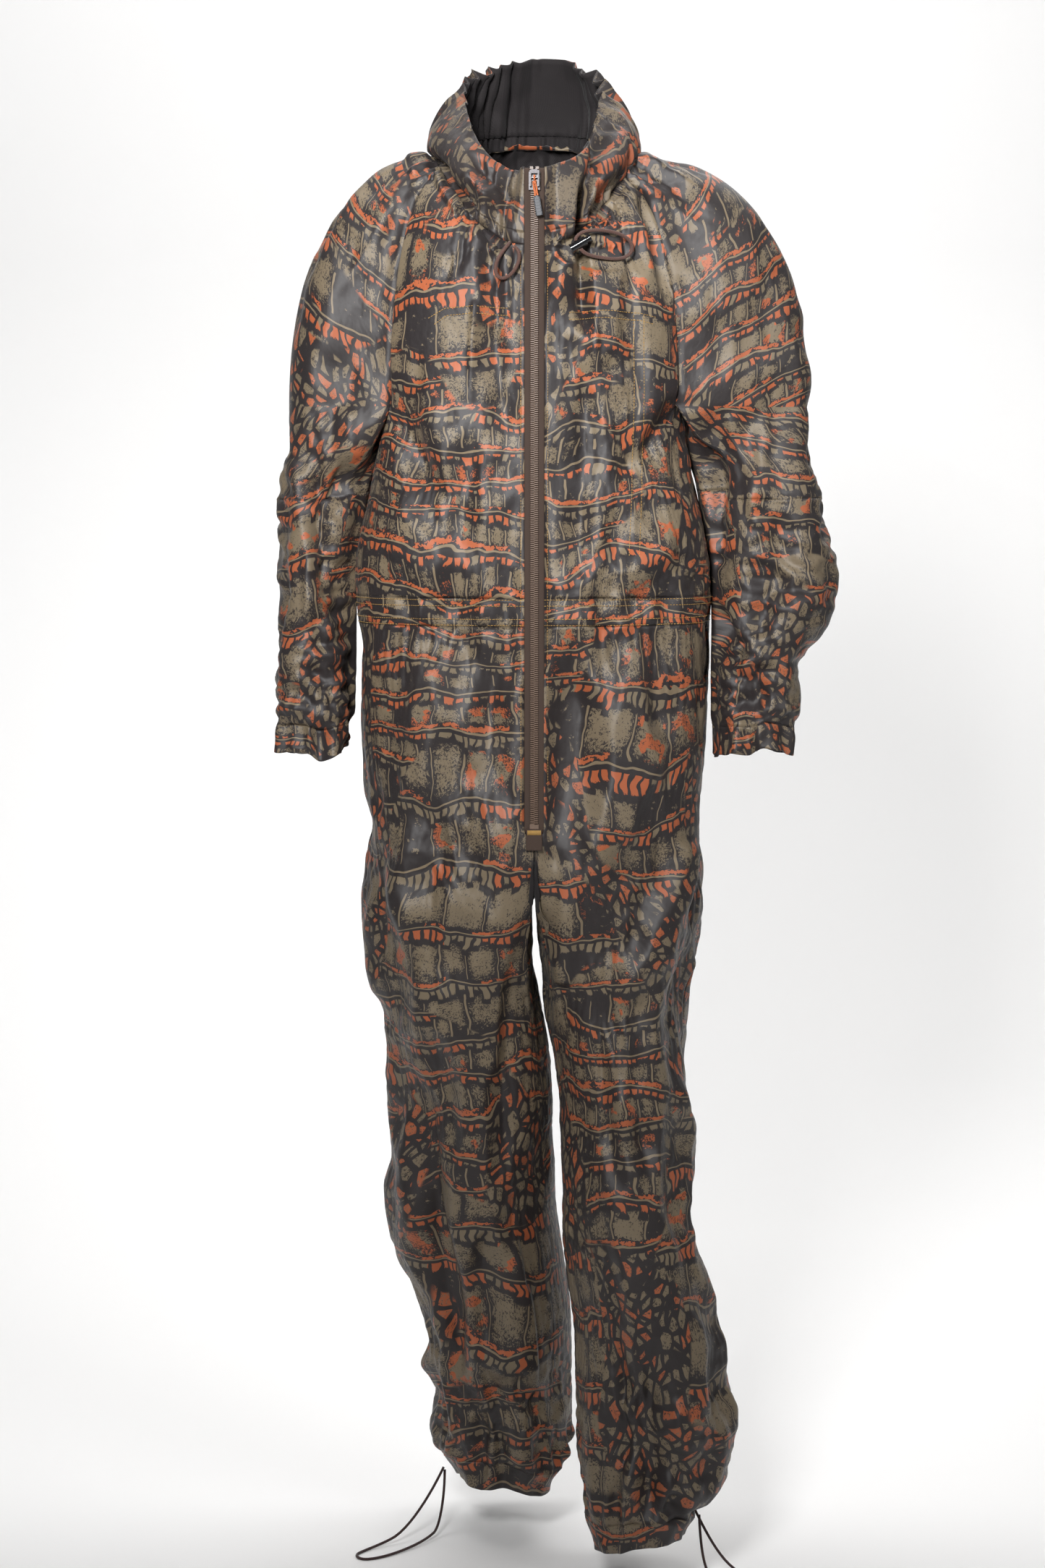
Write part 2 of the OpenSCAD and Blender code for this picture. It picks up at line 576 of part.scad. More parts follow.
// ---- cord lock: a barrel across the left loop, its plunger toward the shoulder ----
lock_at = [43, -119.5, -95];
lock_tilt = 60;
lock_length = 17;
module at_lock() {
    translate(lock_at) rotate([0, lock_tilt, 0]) children();
}
module lock_barrel() {
    color([0.05, 0.05, 0.06]) at_lock() difference() {
        union() {
            translate([0, 0, -lock_length / 2]) cylinder(d = lock_d, h = lock_length);
            translate([0, 0, -lock_length / 2]) cylinder(d = lock_d + 1, h = 1.6);
            translate([0, 0, lock_length / 2 - 1.6]) cylinder(d = lock_d + 1, h = 1.6);
        }
        translate([0, 0, -lock_length / 2 + 1.5]) cylinder(d = lock_d - 2.2, h = lock_length);
        translate([-10, -1.3, -2.6]) cube([20, 2.6, 5.2]);
    }
}
module lock_plunger() {
    shaft = lock_d - 2.2 - 0.12;
    color([0.05, 0.05, 0.06]) at_lock() difference() {
        union() {
            translate([0, 0, -3.4])
                cylinder(d = shaft, h = lock_length / 2 + 3.8 + lock_travel);
            translate([0, 0, lock_length / 2 + lock_travel + 0.2])
                cylinder(d = lock_d, h = 2.2);
        }
        translate([-10, -1.3, -2.4]) cube([20, 2.6, 5 - 0.2]);
    }
}
module lock_spring() {
    color([0.7, 0.7, 0.72]) at_lock() translate([0, 0, -lock_length / 2 + 1.55]) {
        for (k = [0:2])
            translate([0, 0, 0.3 + 1.35 * k]) rotate_extrude($fn = 32)
                translate([2.1, 0]) circle(d = 0.55, $fn = 16);
        for (k = [0:1])
            rotate([0, 0, 180 * k]) translate([2.1, 0, 0.3 + 1.35 * k])
                cylinder(d = 0.5, h = 1.35, $fn = 16);
    }
}
module neck_loop_left() {
    line = path([
        [[40.7, -119.5, -91.1], [39.2, -119.5, -88.5], [44, -118.5, -82.5], [54, -115, -81]],
        [[54, -115, -81], [64, -111.5, -79.5], [80, -104, -80], [90, -99.5, -86]],
        [[90, -99.5, -86], [97, -96.5, -90.2], [99, -96.5, -99], [92, -99.8, -104]],
        [[92, -99.8, -104], [84, -104.5, -109.5], [70, -110.5, -107.5], [60, -113.5, -106]],
        [[60, -113.5, -106], [52, -117, -104.8], [47.2, -119.5, -102.2],
            [45.3, -119.5, -98.95]]], 9);
    color(dark) sweep(line, neck_cord_d / 2);
}

// ---- zip, drawn in the zip's own frame: z along the zip, -y in front ----
module at_zip() {
    translate([0, -zip_front, 0]) rotate([-zip_lean, 0, 0]) children();
}
module slab(x0, x1, y0, y1, z0, z1) {
    translate([x0, y0, z0]) cube([x1 - x0, y1 - y0, z1 - z0]);
}
tape_top = collar_front_z + 1;
module zip_tape_left() {
    color(dark) at_zip() slab(0.9, tape_half - 0.02, 0, 0.8, -672, tape_top);
}
module zip_tape_right() {
    color(dark) at_zip() slab(0.02 - tape_half, -0.9, 0, 0.8, -672, tape_top);
}
module chain() {
    translate([0, 0, stop_bottom + 0.3])
        linear_extrude(slider_top - 0.1 - stop_bottom)
            polygon([[0.75, 0], [0.75, -1.1], [1.2, -chain_rise], [3.2, -chain_rise],
                [3.8, -1.2], [chain_half, -0.6], [chain_half, 0]]);
}
module zip_chain_left() {
    color(dark) at_zip() chain();
}
module zip_chain_right() {
    color(dark) at_zip() mirror([1, 0, 0]) chain();
}
module top_stop() {
    translate([0, 0, slider_top + 0.4]) slab(1.2, 4.4, -1.8, 0, 0, 2.6);
}
module top_stop_left() {
    color(dark) at_zip() top_stop();
}
module top_stop_right() {
    color(dark) at_zip() mirror([1, 0, 0]) top_stop();
}
module bottom_stop() {
    color(dark) at_zip() slab(-4.4, 4.4, -1.8, 0, stop_bottom - 4.4, stop_bottom);
}
module zip_end_tab() {
    color([0.6, 0.45, 0.25]) at_zip() difference() {
        slab(-8, 8, -1.2, 0, -690, stop_bottom - 4.6);
        for (k = [-3:3])
            translate([2 * k, 0, -672]) slab(-0.3, 0.3, -2, -0.8, -2.4, 2.4);
    }
}
module slider_body() {
    color([0.2, 0.2, 0.21]) at_zip() translate([0, 0, slider_top - slider_length]) {
        difference() {
            union() {
                slab(-5.5, 5.5, -3.4, -2, 0, slider_length);
                slab(-5.5, 5.5, 1.2, 2.4, 0, slider_length);
                slab(4.5, 5.5, -2.1, -0.4, 0, slider_length);
                slab(-5.5, -4.5, -2.1, -0.4, 0, slider_length);
                slab(-0.5, 0.5, -2.1, 1.3, slider_length - 7, slider_length);
            }
            translate([5.5, -5, slider_length]) rotate([0, 45, 0]) cube([4, 12, 4], center = true);
            translate([-5.5, -5, slider_length]) rotate([0, 45, 0])
                cube([4, 12, 4], center = true);
        }
    }
}
bail_z = slider_top - 8.5;
module slider_bail() {
    color([0.2, 0.2, 0.21]) at_zip() difference() {
        union() {
            slab(-4.6, -3.2, -7.9, -3.4, slider_top - 17, slider_top - 2);
            slab(3.2, 4.6, -7.9, -3.4, slider_top - 17, slider_top - 2);
            slab(-4.6, 4.6, -7.9, -3.4, slider_top - 4.5, slider_top - 1.5);
        }
        translate([-6, -6.5, bail_z]) rotate([0, 90, 0]) cylinder(d = 1.6, h = 12);
    }
}
module slider_pin() {
    color([0.5, 0.5, 0.52]) at_zip() translate([-4.6, -6.5, bail_z]) rotate([0, 90, 0])
        cylinder(d = 1.6, h = 9.2);
}
pull_lean = 9;
module at_pull() {
    at_zip() translate([0, -6.5, bail_z]) children();
}
// The loop round the pin stays upright, and the strands below the knot lean to the left
module pull_cord() {
    color([0.75, 0.35, 0.2]) at_pull() difference() {
        union() {
            rotate([0, 90, 0]) rotate_extrude($fn = 40)
                translate([0.9 + pull_cord_d / 2, 0]) circle(d = pull_cord_d, $fn = 20);
            translate([0, 0, -4.8]) sphere(d = 4.4, $fn = 28);
            translate([0, 0, -5]) rotate([0, -pull_lean, 0]) {
                translate([-1.1, 0, -14.2]) cylinder(d = pull_cord_d, h = 14.2, $fn = 20);
                translate([1.1, 0, -14.2]) cylinder(d = pull_cord_d, h = 14.2, $fn = 20);
            }
        }
        rotate([0, 90, 0]) translate([0, 0, -4]) cylinder(d = 1.72, h = 8, $fn = 32);
    }
}
module pull_grip() {
    color([0.18, 0.19, 0.2]) at_pull() translate([0, 0, -5]) rotate([0, -pull_lean, 0])
        translate([0, 0, -32.2]) difference() {
            union() {
                linear_extrude(18) offset(r = 1.6, $fn = 24) square([3.4, 1.4], center = true);
                translate([0, 0, 18]) cylinder(d = 4.4, h = 1.4, $fn = 32);
            }
            translate([-1.1, 0, 18]) cylinder(d = pull_cord_d, h = 4, $fn = 20);
            translate([1.1, 0, 18]) cylinder(d = pull_cord_d, h = 4, $fn = 20);
            for (k = [0:4])
                translate([0, 0, 3 + 3 * k]) {
                    slab(-4, 4, -3, -1.95, -0.5, 0.5);
                    slab(-4, 4, 1.95, 3, -0.5, 0.5);
                }
        }
}

front_body_left();
front_body_right();
back_body();
sleeve_upper_left();
sleeve_upper_right();
sleeve_lower_left();
sleeve_lower_right();
cuff_casing_left();
cuff_casing_right();
cuff_elastic_left();
cuff_elastic_right();
leg_front_left();
leg_front_right();
leg_back_left();
leg_back_right();
hem_casing_left();
hem_casing_right();
hem_cord_left();
hem_cord_right();
waist_casing_left();
waist_casing_right();
waist_elastic_left();
waist_elastic_right();
chest_pocket_left();
chest_pocket_right();
collar();
collar_lining();
neck_casing();
neck_loop_left();
neck_loop_right();
lock_barrel();
lock_plunger();
lock_spring();
zip_tape_left();
zip_tape_right();
zip_chain_left();
zip_chain_right();
top_stop_left();
top_stop_right();
bottom_stop();
zip_end_tab();
slider_body();
slider_bail();
slider_pin();
pull_cord();
pull_grip();
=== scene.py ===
"""Beekeeping suit: the looks of a printed full-length coverall, in the CAD model's frame (metres)."""

import math

import bpy
import numpy as np
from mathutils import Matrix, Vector


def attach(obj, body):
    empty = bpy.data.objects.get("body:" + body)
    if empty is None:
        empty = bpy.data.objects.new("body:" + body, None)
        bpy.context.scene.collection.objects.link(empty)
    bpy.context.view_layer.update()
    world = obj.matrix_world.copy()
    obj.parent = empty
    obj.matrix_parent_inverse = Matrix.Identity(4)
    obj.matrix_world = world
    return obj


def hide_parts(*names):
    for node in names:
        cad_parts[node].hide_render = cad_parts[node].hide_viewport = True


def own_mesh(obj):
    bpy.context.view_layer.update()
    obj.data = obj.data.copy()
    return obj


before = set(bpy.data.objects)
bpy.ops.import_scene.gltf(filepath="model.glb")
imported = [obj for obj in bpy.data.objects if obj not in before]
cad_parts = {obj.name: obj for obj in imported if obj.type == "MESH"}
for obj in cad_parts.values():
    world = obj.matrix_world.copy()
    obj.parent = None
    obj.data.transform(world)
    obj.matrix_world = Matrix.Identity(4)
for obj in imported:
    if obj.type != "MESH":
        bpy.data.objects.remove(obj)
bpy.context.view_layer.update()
scene = bpy.context.scene
scene.view_settings.view_transform = "Standard"
MM = 0.001


# ---------------------------------------------------------------- camera
def add_camera():
    data = bpy.data.cameras.new("camera")
    data.lens = 62.0
    data.sensor_width = 36.0
    data.clip_end = 50.0
    camera = bpy.data.objects.new("camera", data)
    camera.location = (-0.0116, -2.8, -0.334)
    camera.rotation_euler = (math.radians(90 - 6.2), 0, 0)
    scene.collection.objects.link(camera)
    scene.camera = camera


add_camera()
FLOOR_Z = -1.4553


# ---------------------------------------------------------------- small helpers
def mix(a, b, t):
    return a * (1 - t) + b * t


def ease(t):
    u = np.clip(t, 0, 1)
    return u * u * (3 - 2 * u)


def power(v, e):
    return np.sign(v) * np.abs(v) ** e


def sind(a):
    return np.sin(np.radians(a))


def cosd(a):
    return np.cos(np.radians(a))


def link(obj):
    scene.collection.objects.link(obj)
    return obj


def mesh_object(name, verts, faces, uvs=None, smooth=True):
    """A mesh piece; uvs is one (u, v) for each face corner, in face order."""
    mesh = bpy.data.meshes.new(name)
    mesh.from_pydata([tuple(v) for v in verts], [], [tuple(f) for f in faces])
    if uvs is not None:
        layer = mesh.uv_layers.new(name="UVMap")
        layer.data.foreach_set("uv", np.asarray(uvs, dtype=np.float32).ravel())
    if smooth:
        mesh.polygons.foreach_set("use_smooth", [True] * len(mesh.polygons))
    mesh.update()
    return link(bpy.data.objects.new(name, mesh))


def bezier(p, t):
    u = 1 - t
    return p[0] * u**3 + p[1] * 3 * u * u * t + p[2] * 3 * u * t * t + p[3] * t**3


def route(curves, n):
    points = [np.array(curves[0][0], dtype=float)]
    for c in curves:
        c = [np.array(p, dtype=float) for p in c]
        points += [bezier(c, k / n) for k in range(1, n + 1)]
    return np.array(points) * MM


def tube(name, line, radius, sides=14, caps=True):
    """A round mesh tube along a line of points, with UVs in metres: round it, then along it."""
    line = np.asarray(line, dtype=float)
    n = len(line)
    along = np.concatenate([[0], np.cumsum(np.linalg.norm(np.diff(line, axis=0), axis=1))])
    tangent = np.gradient(line, axis=0)
    tangent /= np.linalg.norm(tangent, axis=1)[:, None]
    side = np.cross(tangent[0], (0.1, 0.2, 1.0))
    verts = []
    for i in range(n):
        side = side - tangent[i] * np.dot(side, tangent[i])
        side /= np.linalg.norm(side)
        up = np.cross(side, tangent[i])
        r = radius[i] if np.ndim(radius) else radius
        for k in range(sides):
            a = 2 * math.pi * k / sides
            verts.append(line[i] + r * (side * math.cos(a) + up * math.sin(a)))
    faces, uvs = [], []
    girth = 2 * math.pi * float(np.max(radius))
    for i in range(n - 1):
        for k in range(sides):
            k2 = (k + 1) % sides
            faces.append((i * sides + k, i * sides + k2, (i + 1) * sides + k2, (i + 1) * sides + k))
            u0, u1 = girth * k / sides, girth * (k + 1) / sides
            uvs += [(u0, along[i]), (u1, along[i]), (u1, along[i + 1]), (u0, along[i + 1])]
    if caps:
        faces.append(tuple(range(sides - 1, -1, -1)))
        faces.append(tuple((n - 1) * sides + k for k in range(sides)))
        uvs += [(0, 0)] * (2 * sides)
    return mesh_object(name, verts, faces, uvs)


# ---------------------------------------------------------------- material helpers
def rgb(r, g, b):
    """A screen colour from 0 to 255 as a linear one."""
    def lin(c):
        c /= 255
        return c / 12.92 if c <= 0.04045 else ((c + 0.055) / 1.055) ** 2.4
    return (lin(r), lin(g), lin(b), 1.0)


class Graph:
    """A short way to write a node tree."""

    def __init__(self, name):
        self.mat = bpy.data.materials.new(name)
        self.mat.use_nodes = True
        self.tree = self.mat.node_tree
        self.tree.nodes.clear()
        self.out = self.tree.nodes.new("ShaderNodeOutputMaterial")
        self.bsdf = self.tree.nodes.new("ShaderNodeBsdfPrincipled")
        self.tree.links.new(self.bsdf.outputs[0], self.out.inputs[0])

    def put(self, socket, value):
        if isinstance(value, bpy.types.NodeSocket):
            self.tree.links.new(value, socket)
        else:
            socket.default_value = value

    def node(self, kind, inputs=(), **settings):
        n = self.tree.nodes.new(kind)
        for key, value in settings.items():
            setattr(n, key, value)
        for key, value in dict(inputs).items():
            self.put(n.inputs[key], value)
        return n

    def math(self, op, a, b=None, c=None, clamp=False):
        n = self.tree.nodes.new("ShaderNodeMath")
        n.operation = op
        n.use_clamp = clamp
        for i, value in enumerate((a, b, c)):
            if value is not None:
                self.put(n.inputs[i], value)
        return n.outputs[0]

    def add(self, a, b):
        return self.math("ADD", a, b)

    def sub(self, a, b):
        return self.math("SUBTRACT", a, b)

    def mul(self, a, b):
        return self.math("MULTIPLY", a, b)

    def less(self, a, b):
        return self.math("LESS_THAN", a, b)

    def more(self, a, b):
        return self.math("GREATER_THAN", a, b)

    def step(self, value, low, high):
        """A soft step from 0 at low to 1 at high."""
        n = self.node("ShaderNodeMapRange", {0: value, 1: low, 2: high, 3: 0.0, 4: 1.0})
        n.interpolation_type = "SMOOTHSTEP"
        return n.outputs[0]

    def blend(self, fac, a, b, kind="MIX"):
        n = self.tree.nodes.new("ShaderNodeMix")
        n.data_type = "RGBA"
        n.blend_type = kind
        self.put(n.inputs["Factor"], fac)
        self.put(n.inputs["A"], a)
        self.put(n.inputs["B"], b)
        return n.outputs["Result"]

    def join(self, x, y, z=0.0):
        return self.node("ShaderNodeCombineXYZ", {0: x, 1: y, 2: z}).outputs[0]

    def noise(self, vector, scale, detail=2.0, rough=0.5, color=False):
        n = self.node("ShaderNodeTexNoise", {"Vector": vector, "Scale": scale, "Detail": detail,
                                             "Roughness": rough})
        return n.outputs["Color"] if color else n.outputs["Fac"]

    def random(self, x, y=0.0, seed=0.0):
        return self.node("ShaderNodeTexWhiteNoise", {"Vector": self.join(x, y, seed)}).outputs["Value"]

    def uv(self):
        n = self.node("ShaderNodeUVMap", uv_map="UVMap")
        parts = self.node("ShaderNodeSeparateXYZ", {0: n.outputs[0]})
        return parts.outputs[0], parts.outputs[1]

    def bump(self, height, distance, strength=1.0):
        n = self.node("ShaderNodeBump", {"Height": height, "Distance": distance, "Strength": strength})
        self.put(self.bsdf.inputs["Normal"], n.outputs[0])

    def surface(self, color, rough, metal=0.0, sheen=0.0, specular=0.5, coat=0.0):
        self.put(self.bsdf.inputs["Base Color"], color)
        self.put(self.bsdf.inputs["Roughness"], rough)
        self.put(self.bsdf.inputs["Metallic"], metal)
        self.put(self.bsdf.inputs["Sheen Weight"], sheen)
        self.put(self.bsdf.inputs["Specular IOR Level"], specular)
        self.put(self.bsdf.inputs["Coat Weight"], coat)
        return self.mat


CHARCOAL = rgb(36, 32, 33)
TAUPE = rgb(114, 101, 81)
TAUPE_LIGHT = rgb(122, 107, 85)
RUST = rgb(162, 85, 50)


def scales(g, flat, wu, wv, height, cell_width, seed):
    """Rows of near-square scales: worn taupe cells on charcoal, with combs of teeth under each row."""
    grain = g.noise(g.join(wu, g.mul(wv, 0.72)), 560.0, 4.0, 0.8)
    cloud = g.noise(flat, 95.0, 3.0, 0.7)
    rows = g.math("DIVIDE", wv, height)
    row = g.math("FLOOR", rows)
    up = g.mul(g.math("FRACT", rows), height)
    down = g.sub(height, up)
    width = g.mul(g.add(0.55, g.mul(g.random(row, 3.0, seed), 0.75)), cell_width)
    cells = g.add(g.math("DIVIDE", wu, width), g.mul(g.random(row, 8.0, seed), 7.0))
    cell = g.math("FLOOR", cells)
    across = g.math("FRACT", cells)
    edge = g.mul(g.math("MINIMUM", across, g.sub(1.0, across)), width)
    chance, chance2 = g.random(row, cell, seed + 1.0), g.random(row, cell, seed + 5.0)

    # inside a cell: taupe, worn through to charcoal in flecks, more toward its rim
    foot, head = g.step(up, height * 0.36, 0.002), g.step(down, height * 0.42, 0.006)
    side = g.step(edge, 0.0085, 0.0020)
    wear = g.add(g.add(g.mul(grain, 1.55), g.mul(cloud, 0.60)),
                 g.add(g.add(g.mul(foot, 0.24), g.mul(side, 0.15)),
                       g.add(g.mul(head, 0.27), g.mul(chance, 0.20))))
    inner = g.blend(g.step(wear, 1.25, 1.28), TAUPE, CHARCOAL)
    solid = g.mul(g.more(chance, 0.83), g.step(cloud, 0.36, 0.4))
    inner = g.blend(solid, inner, CHARCOAL)
    patch = g.mul(g.more(chance2, 0.62), g.step(g.noise(flat, 52.0, 2.0), 0.54, 0.56))
    inner = g.blend(g.mul(patch, g.step(wear, 1.29, 1.25)), inner, RUST)

    # upright lines between the cells: charcoal, with a taupe thread down some
    line = g.add(edge, g.mul(g.sub(cloud, 0.5), 0.004))
    body = g.blend(g.step(line, 0.0024, 0.0017), inner, CHARCOAL)
    body = g.blend(g.mul(g.less(edge, 0.0009), g.more(g.random(cell, row, seed + 9.0), 0.2)), body, TAUPE_LIGHT)

    # a comb of teeth hangs under each row line, on charcoal
    comb = g.add(g.math("DIVIDE", wu, 0.0078), g.mul(g.noise(flat, 60.0, 1.0), 1.6))
    tooth_id = g.math("FLOOR", comb)
    tooth = g.math("ABSOLUTE", g.sub(g.math("FRACT", comb), 0.5))
    long_tooth = g.add(height * 0.10, g.mul(g.random(tooth_id, row, seed), height * 0.19))
    under = g.add(down, g.mul(g.sub(grain, 0.5), 0.009))
    lively = g.more(g.noise(g.join(wu, g.mul(row, 0.3), seed), 9.0, 1.0), 0.45)
    drip = g.add(g.mul(long_tooth, 1.2), 0.0035)
    body = g.blend(g.math("LESS_THAN", under, drip), body, CHARCOAL)
    slim = g.sub(0.37, g.mul(g.math("DIVIDE", under, 0.017), 0.10))
    teeth = g.mul(g.math("LESS_THAN", tooth, slim), g.math("LESS_THAN", under, long_tooth))
    colour = g.blend(g.mul(lively, g.more(g.random(tooth_id, row, seed + 4.0), 0.18)), TAUPE, RUST)
    body = g.blend(g.mul(teeth, g.more(down, 0.0028)), body, colour)

    # the row line: rust over it in places, then charcoal, pale, charcoal
    high = g.add(up, g.mul(g.sub(cloud, 0.5), 0.012))
    body = g.blend(g.less(high, 0.0075), body, CHARCOAL)
    broken = g.mul(lively, g.more(cloud, 0.46))
    body = g.blend(g.mul(g.mul(g.less(high, 0.0070), g.more(high, 0.0032)), broken), body, RUST)
    return g.blend(g.mul(g.less(up, 0.0022), g.more(up, 0.0006)), body, TAUPE_LIGHT), grain, cloud


def print_material(name, pebble_bias, painted_shade=0.16):
    """The reptile-scale print: large and small rows of scales, and areas of pebble scales."""
    g = Graph(name)
    u, v = g.uv()
    flat = g.join(u, v)
    drift = g.node("ShaderNodeSeparateXYZ", {0: g.noise(flat, 6.5, 2.0, color=True)})
    fine = g.node("ShaderNodeSeparateXYZ", {0: g.noise(flat, 46.0, 1.0, color=True)})
    wu = g.add(g.add(u, g.mul(g.sub(drift.outputs[0], 0.5), 0.050)),
               g.mul(g.sub(fine.outputs[0], 0.5), 0.0080))
    wv = g.add(g.add(v, g.mul(g.sub(drift.outputs[1], 0.5), 0.110)),
               g.mul(g.sub(fine.outputs[1], 0.5), 0.0090))
    body, grain, cloud = scales(g, flat, wu, wv, 0.064, 0.038, 0.0)
    small = scales(g, flat, wu, wv, 0.036, 0.022, 20.0)[0]
    other = g.noise(g.join(g.mul(u, 0.9), g.mul(v, 0.8), 5.0), 5.5, 1.0)
    body = g.blend(g.step(other, 0.515, 0.525), body, small)

    # pebbles: small uneven scales with dark gaps
    tall = g.join(g.mul(wu, 1.25), g.mul(wv, 0.85))
    rim = g.node("ShaderNodeTexVoronoi", {"Vector": tall, "Scale": 82.0},
                 feature="DISTANCE_TO_EDGE").outputs["Distance"]
    tile = g.node("ShaderNodeTexVoronoi", {"Vector": tall, "Scale": 82.0}).outputs["Color"]
    tint = g.node("ShaderNodeSeparateXYZ", {0: tile}).outputs[0]
    pebble = g.blend(g.step(g.add(g.mul(grain, 1.1), g.mul(cloud, 0.6)), 0.90, 0.94), TAUPE, CHARCOAL)
    pebble = g.blend(g.mul(g.more(tint, 0.58), g.step(grain, 0.60, 0.5)), pebble, RUST)
    pebble = g.blend(g.step(rim, 0.17, 0.13), pebble, CHARCOAL)
    where = g.noise(g.join(g.mul(u, 1.0), g.mul(v, 0.5)), 6.5, 1.0)
    body = g.blend(g.step(where, 0.575 - pebble_bias, 0.585 - pebble_bias), body, pebble)

    # cloth: painted shade, the print mixed toward dark brown by a set amount for each copy, with a little random
    # tone in it; a fine plain weave and small creases
    tone = g.noise(flat, 3.0, 2.0)
    color = g.blend(g.add(painted_shade, g.mul(tone, 0.10)), body, rgb(46, 39, 36), "MIX")
    weave = g.mul(g.math("SINE", g.mul(u, 9000.0)), g.math("SINE", g.mul(v, 9000.0)))
    crease = g.noise(g.join(g.mul(u, 1.5), v), 26.0, 3.0, 0.5)
    g.bump(g.add(g.mul(weave, 0.01), crease), 0.0050, 0.5)
    rough = g.add(0.40, g.mul(grain, 0.16))
    return g.surface(color, rough, sheen=0.03, specular=0.40)


def plain_cloth(name, color, rough=0.8, pitch=2600.0):
    g = Graph(name)
    u, v = g.uv()
    weave = g.mul(g.math("SINE", g.mul(u, pitch)), g.math("SINE", g.mul(v, pitch)))
    tone = g.noise(g.join(u, v), 60.0, 3.0)
    shade = g.blend(g.mul(tone, 0.35), color, tuple(c * 0.55 for c in color[:3]) + (1.0,))
    g.bump(g.add(g.mul(weave, 0.25), tone), 0.0008, 0.6)
    return g.surface(shade, rough, sheen=0.05, specular=0.3)


def cord_material(name, color, pitch=0.0022):
    """A braided cord: two sets of slanted ribs, crossing."""
    g = Graph(name)
    u, v = g.uv()
    one = g.math("SINE", g.mul(g.add(u, v), 2 * math.pi / pitch))
    two = g.math("SINE", g.mul(g.sub(u, v), 2 * math.pi / pitch))
    braid = g.math("MAXIMUM", one, two)
    worn = g.noise(g.join(u, v), 300.0, 2.0)
    # painted shade: the grooves between the braid's ribs are darkened; the lighter random flecks after it are
    # wear
    shade = g.blend(g.mul(g.step(braid, 0.9, -0.2), 0.7), color,
                    tuple(c * 0.35 for c in color[:3]) + (1.0,))
    shade = g.blend(g.mul(worn, 0.25), shade, tuple(min(1, c * 2.0) for c in color[:3]) + (1.0,))
    g.bump(braid, 0.0004, 0.8)
    return g.surface(shade, 0.55, sheen=0.08, specular=0.35)


def hard_material(name, color, rough, metal=0.0, coat=0.0, worn=None, scale=140.0):
    g = Graph(name)
    place = g.node("ShaderNodeNewGeometry").outputs["Position"]
    marks = g.noise(place, scale * 10, 4.0, 0.6)
    shade = g.blend(g.step(marks, 0.55, 0.75), color, worn or color)
    g.bump(marks, 0.0002, 0.25)
    return g.surface(shade, g.add(rough, g.mul(g.sub(marks, 0.5), 0.15)), metal=metal, coat=coat)


# lit and shaded copies of one print: the last number is painted shade, least on the body, more on the sleeves and
# legs, most on the collar
PRINT_BODY = print_material("print_body", -0.02, 0.05)
PRINT_ARM = print_material("print_arm", 0.10, 0.14)
PRINT_LEG = print_material("print_leg", 0.02, 0.16)
PRINT_COLLAR = print_material("print_collar", 0.03, 0.34)
INSIDE = plain_cloth("cloth_inside", rgb(30, 26, 27))
TAPE = plain_cloth("tape_weave", rgb(58, 44, 36), 0.75, 4200.0)
ELASTIC = plain_cloth("elastic_knit", rgb(34, 30, 30), 0.85)
CORD = cord_material("cord_brown", rgb(84, 58, 50))
HEM_CORD = cord_material("cord_dark", rgb(58, 36, 34), 0.0018)
ORANGE = cord_material("cord_orange", rgb(190, 104, 60), 0.0016)
THREAD = cord_material("thread_ochre", rgb(206, 158, 84), 0.0008)
COIL = hard_material("coil_nylon", rgb(92, 74, 62), 0.38, worn=rgb(120, 100, 86))
METAL = hard_material("slider_lacquer", rgb(58, 56, 58), 0.34, metal=0.7, coat=0.3,
                      worn=rgb(120, 118, 116))
STEEL = hard_material("steel_wire", rgb(180, 180, 184), 0.25, metal=1.0)
GRIP = hard_material("grip_plastic", rgb(58, 60, 64), 0.55, worn=rgb(80, 82, 86))
GLOSS = hard_material("gloss_black", rgb(16, 16, 18), 0.12, coat=0.6, worn=rgb(34, 34, 38))


# ---------------------------------------------------------------- cords, first of the pieces
def add_cord(name, node, curves, diameter, material):
    line = route(curves, 12)
    piece = tube(name, line, diameter / 2, 16)
    piece.data.materials.append(material)
    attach(piece, "suit")
    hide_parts(node)
    return line


def shifted(start, curves):
    return [[np.array(start) + np.array(p) for p in c] for c in curves]


HEM_RIGHT = add_cord("hem_loop_right", "hem_cord_right", shifted((-97, 30, -1386), [
    [(0, -3, 1), (-12, -14, -22), (-36, -36, -57), (-56, -46, -63)],
    [(-56, -46, -63), (-69, -53, -67.2), (-80.5, -62, -67.8), (-87.5, -71, -67.8)],
    [(-87.5, -71, -67.8), (-93.5, -79, -67.8), (-87.5, -89.5, -67.8), (-77.5, -88, -67.8)],
    [(-77.5, -88, -67.8), (-59.5, -85.3, -67.8), (-24, -52, -67.8), (-10, -30, -62)],
    [(-10, -30, -62), (-4, -20.6, -59.6), (1, -2, -34), (1, 3, -4)]]),
    0.0028, HEM_CORD)
HEM_LEFT = add_cord("hem_loop_left", "hem_cord_left", shifted((167, -83, -1388), [
    [(0, -3, 1), (10, -8, -18), (26, -14, -52), (46, -20, -61)],
    [(46, -20, -61), (56, -23, -65.5), (78, -30, -65.8), (90, -38, -65.8)],
    [(90, -38, -65.8), (98.4, -43.6, -65.8), (98, -57, -65.8), (87, -58, -65.8)],
    [(87, -58, -65.8), (65, -60, -65.8), (30, -44, -65.8), (16, -32, -60)],
    [(16, -32, -60), (9, -26, -57.1), (6, -14, -34), (5, -9, -4)]]),
    0.0028, HEM_CORD)
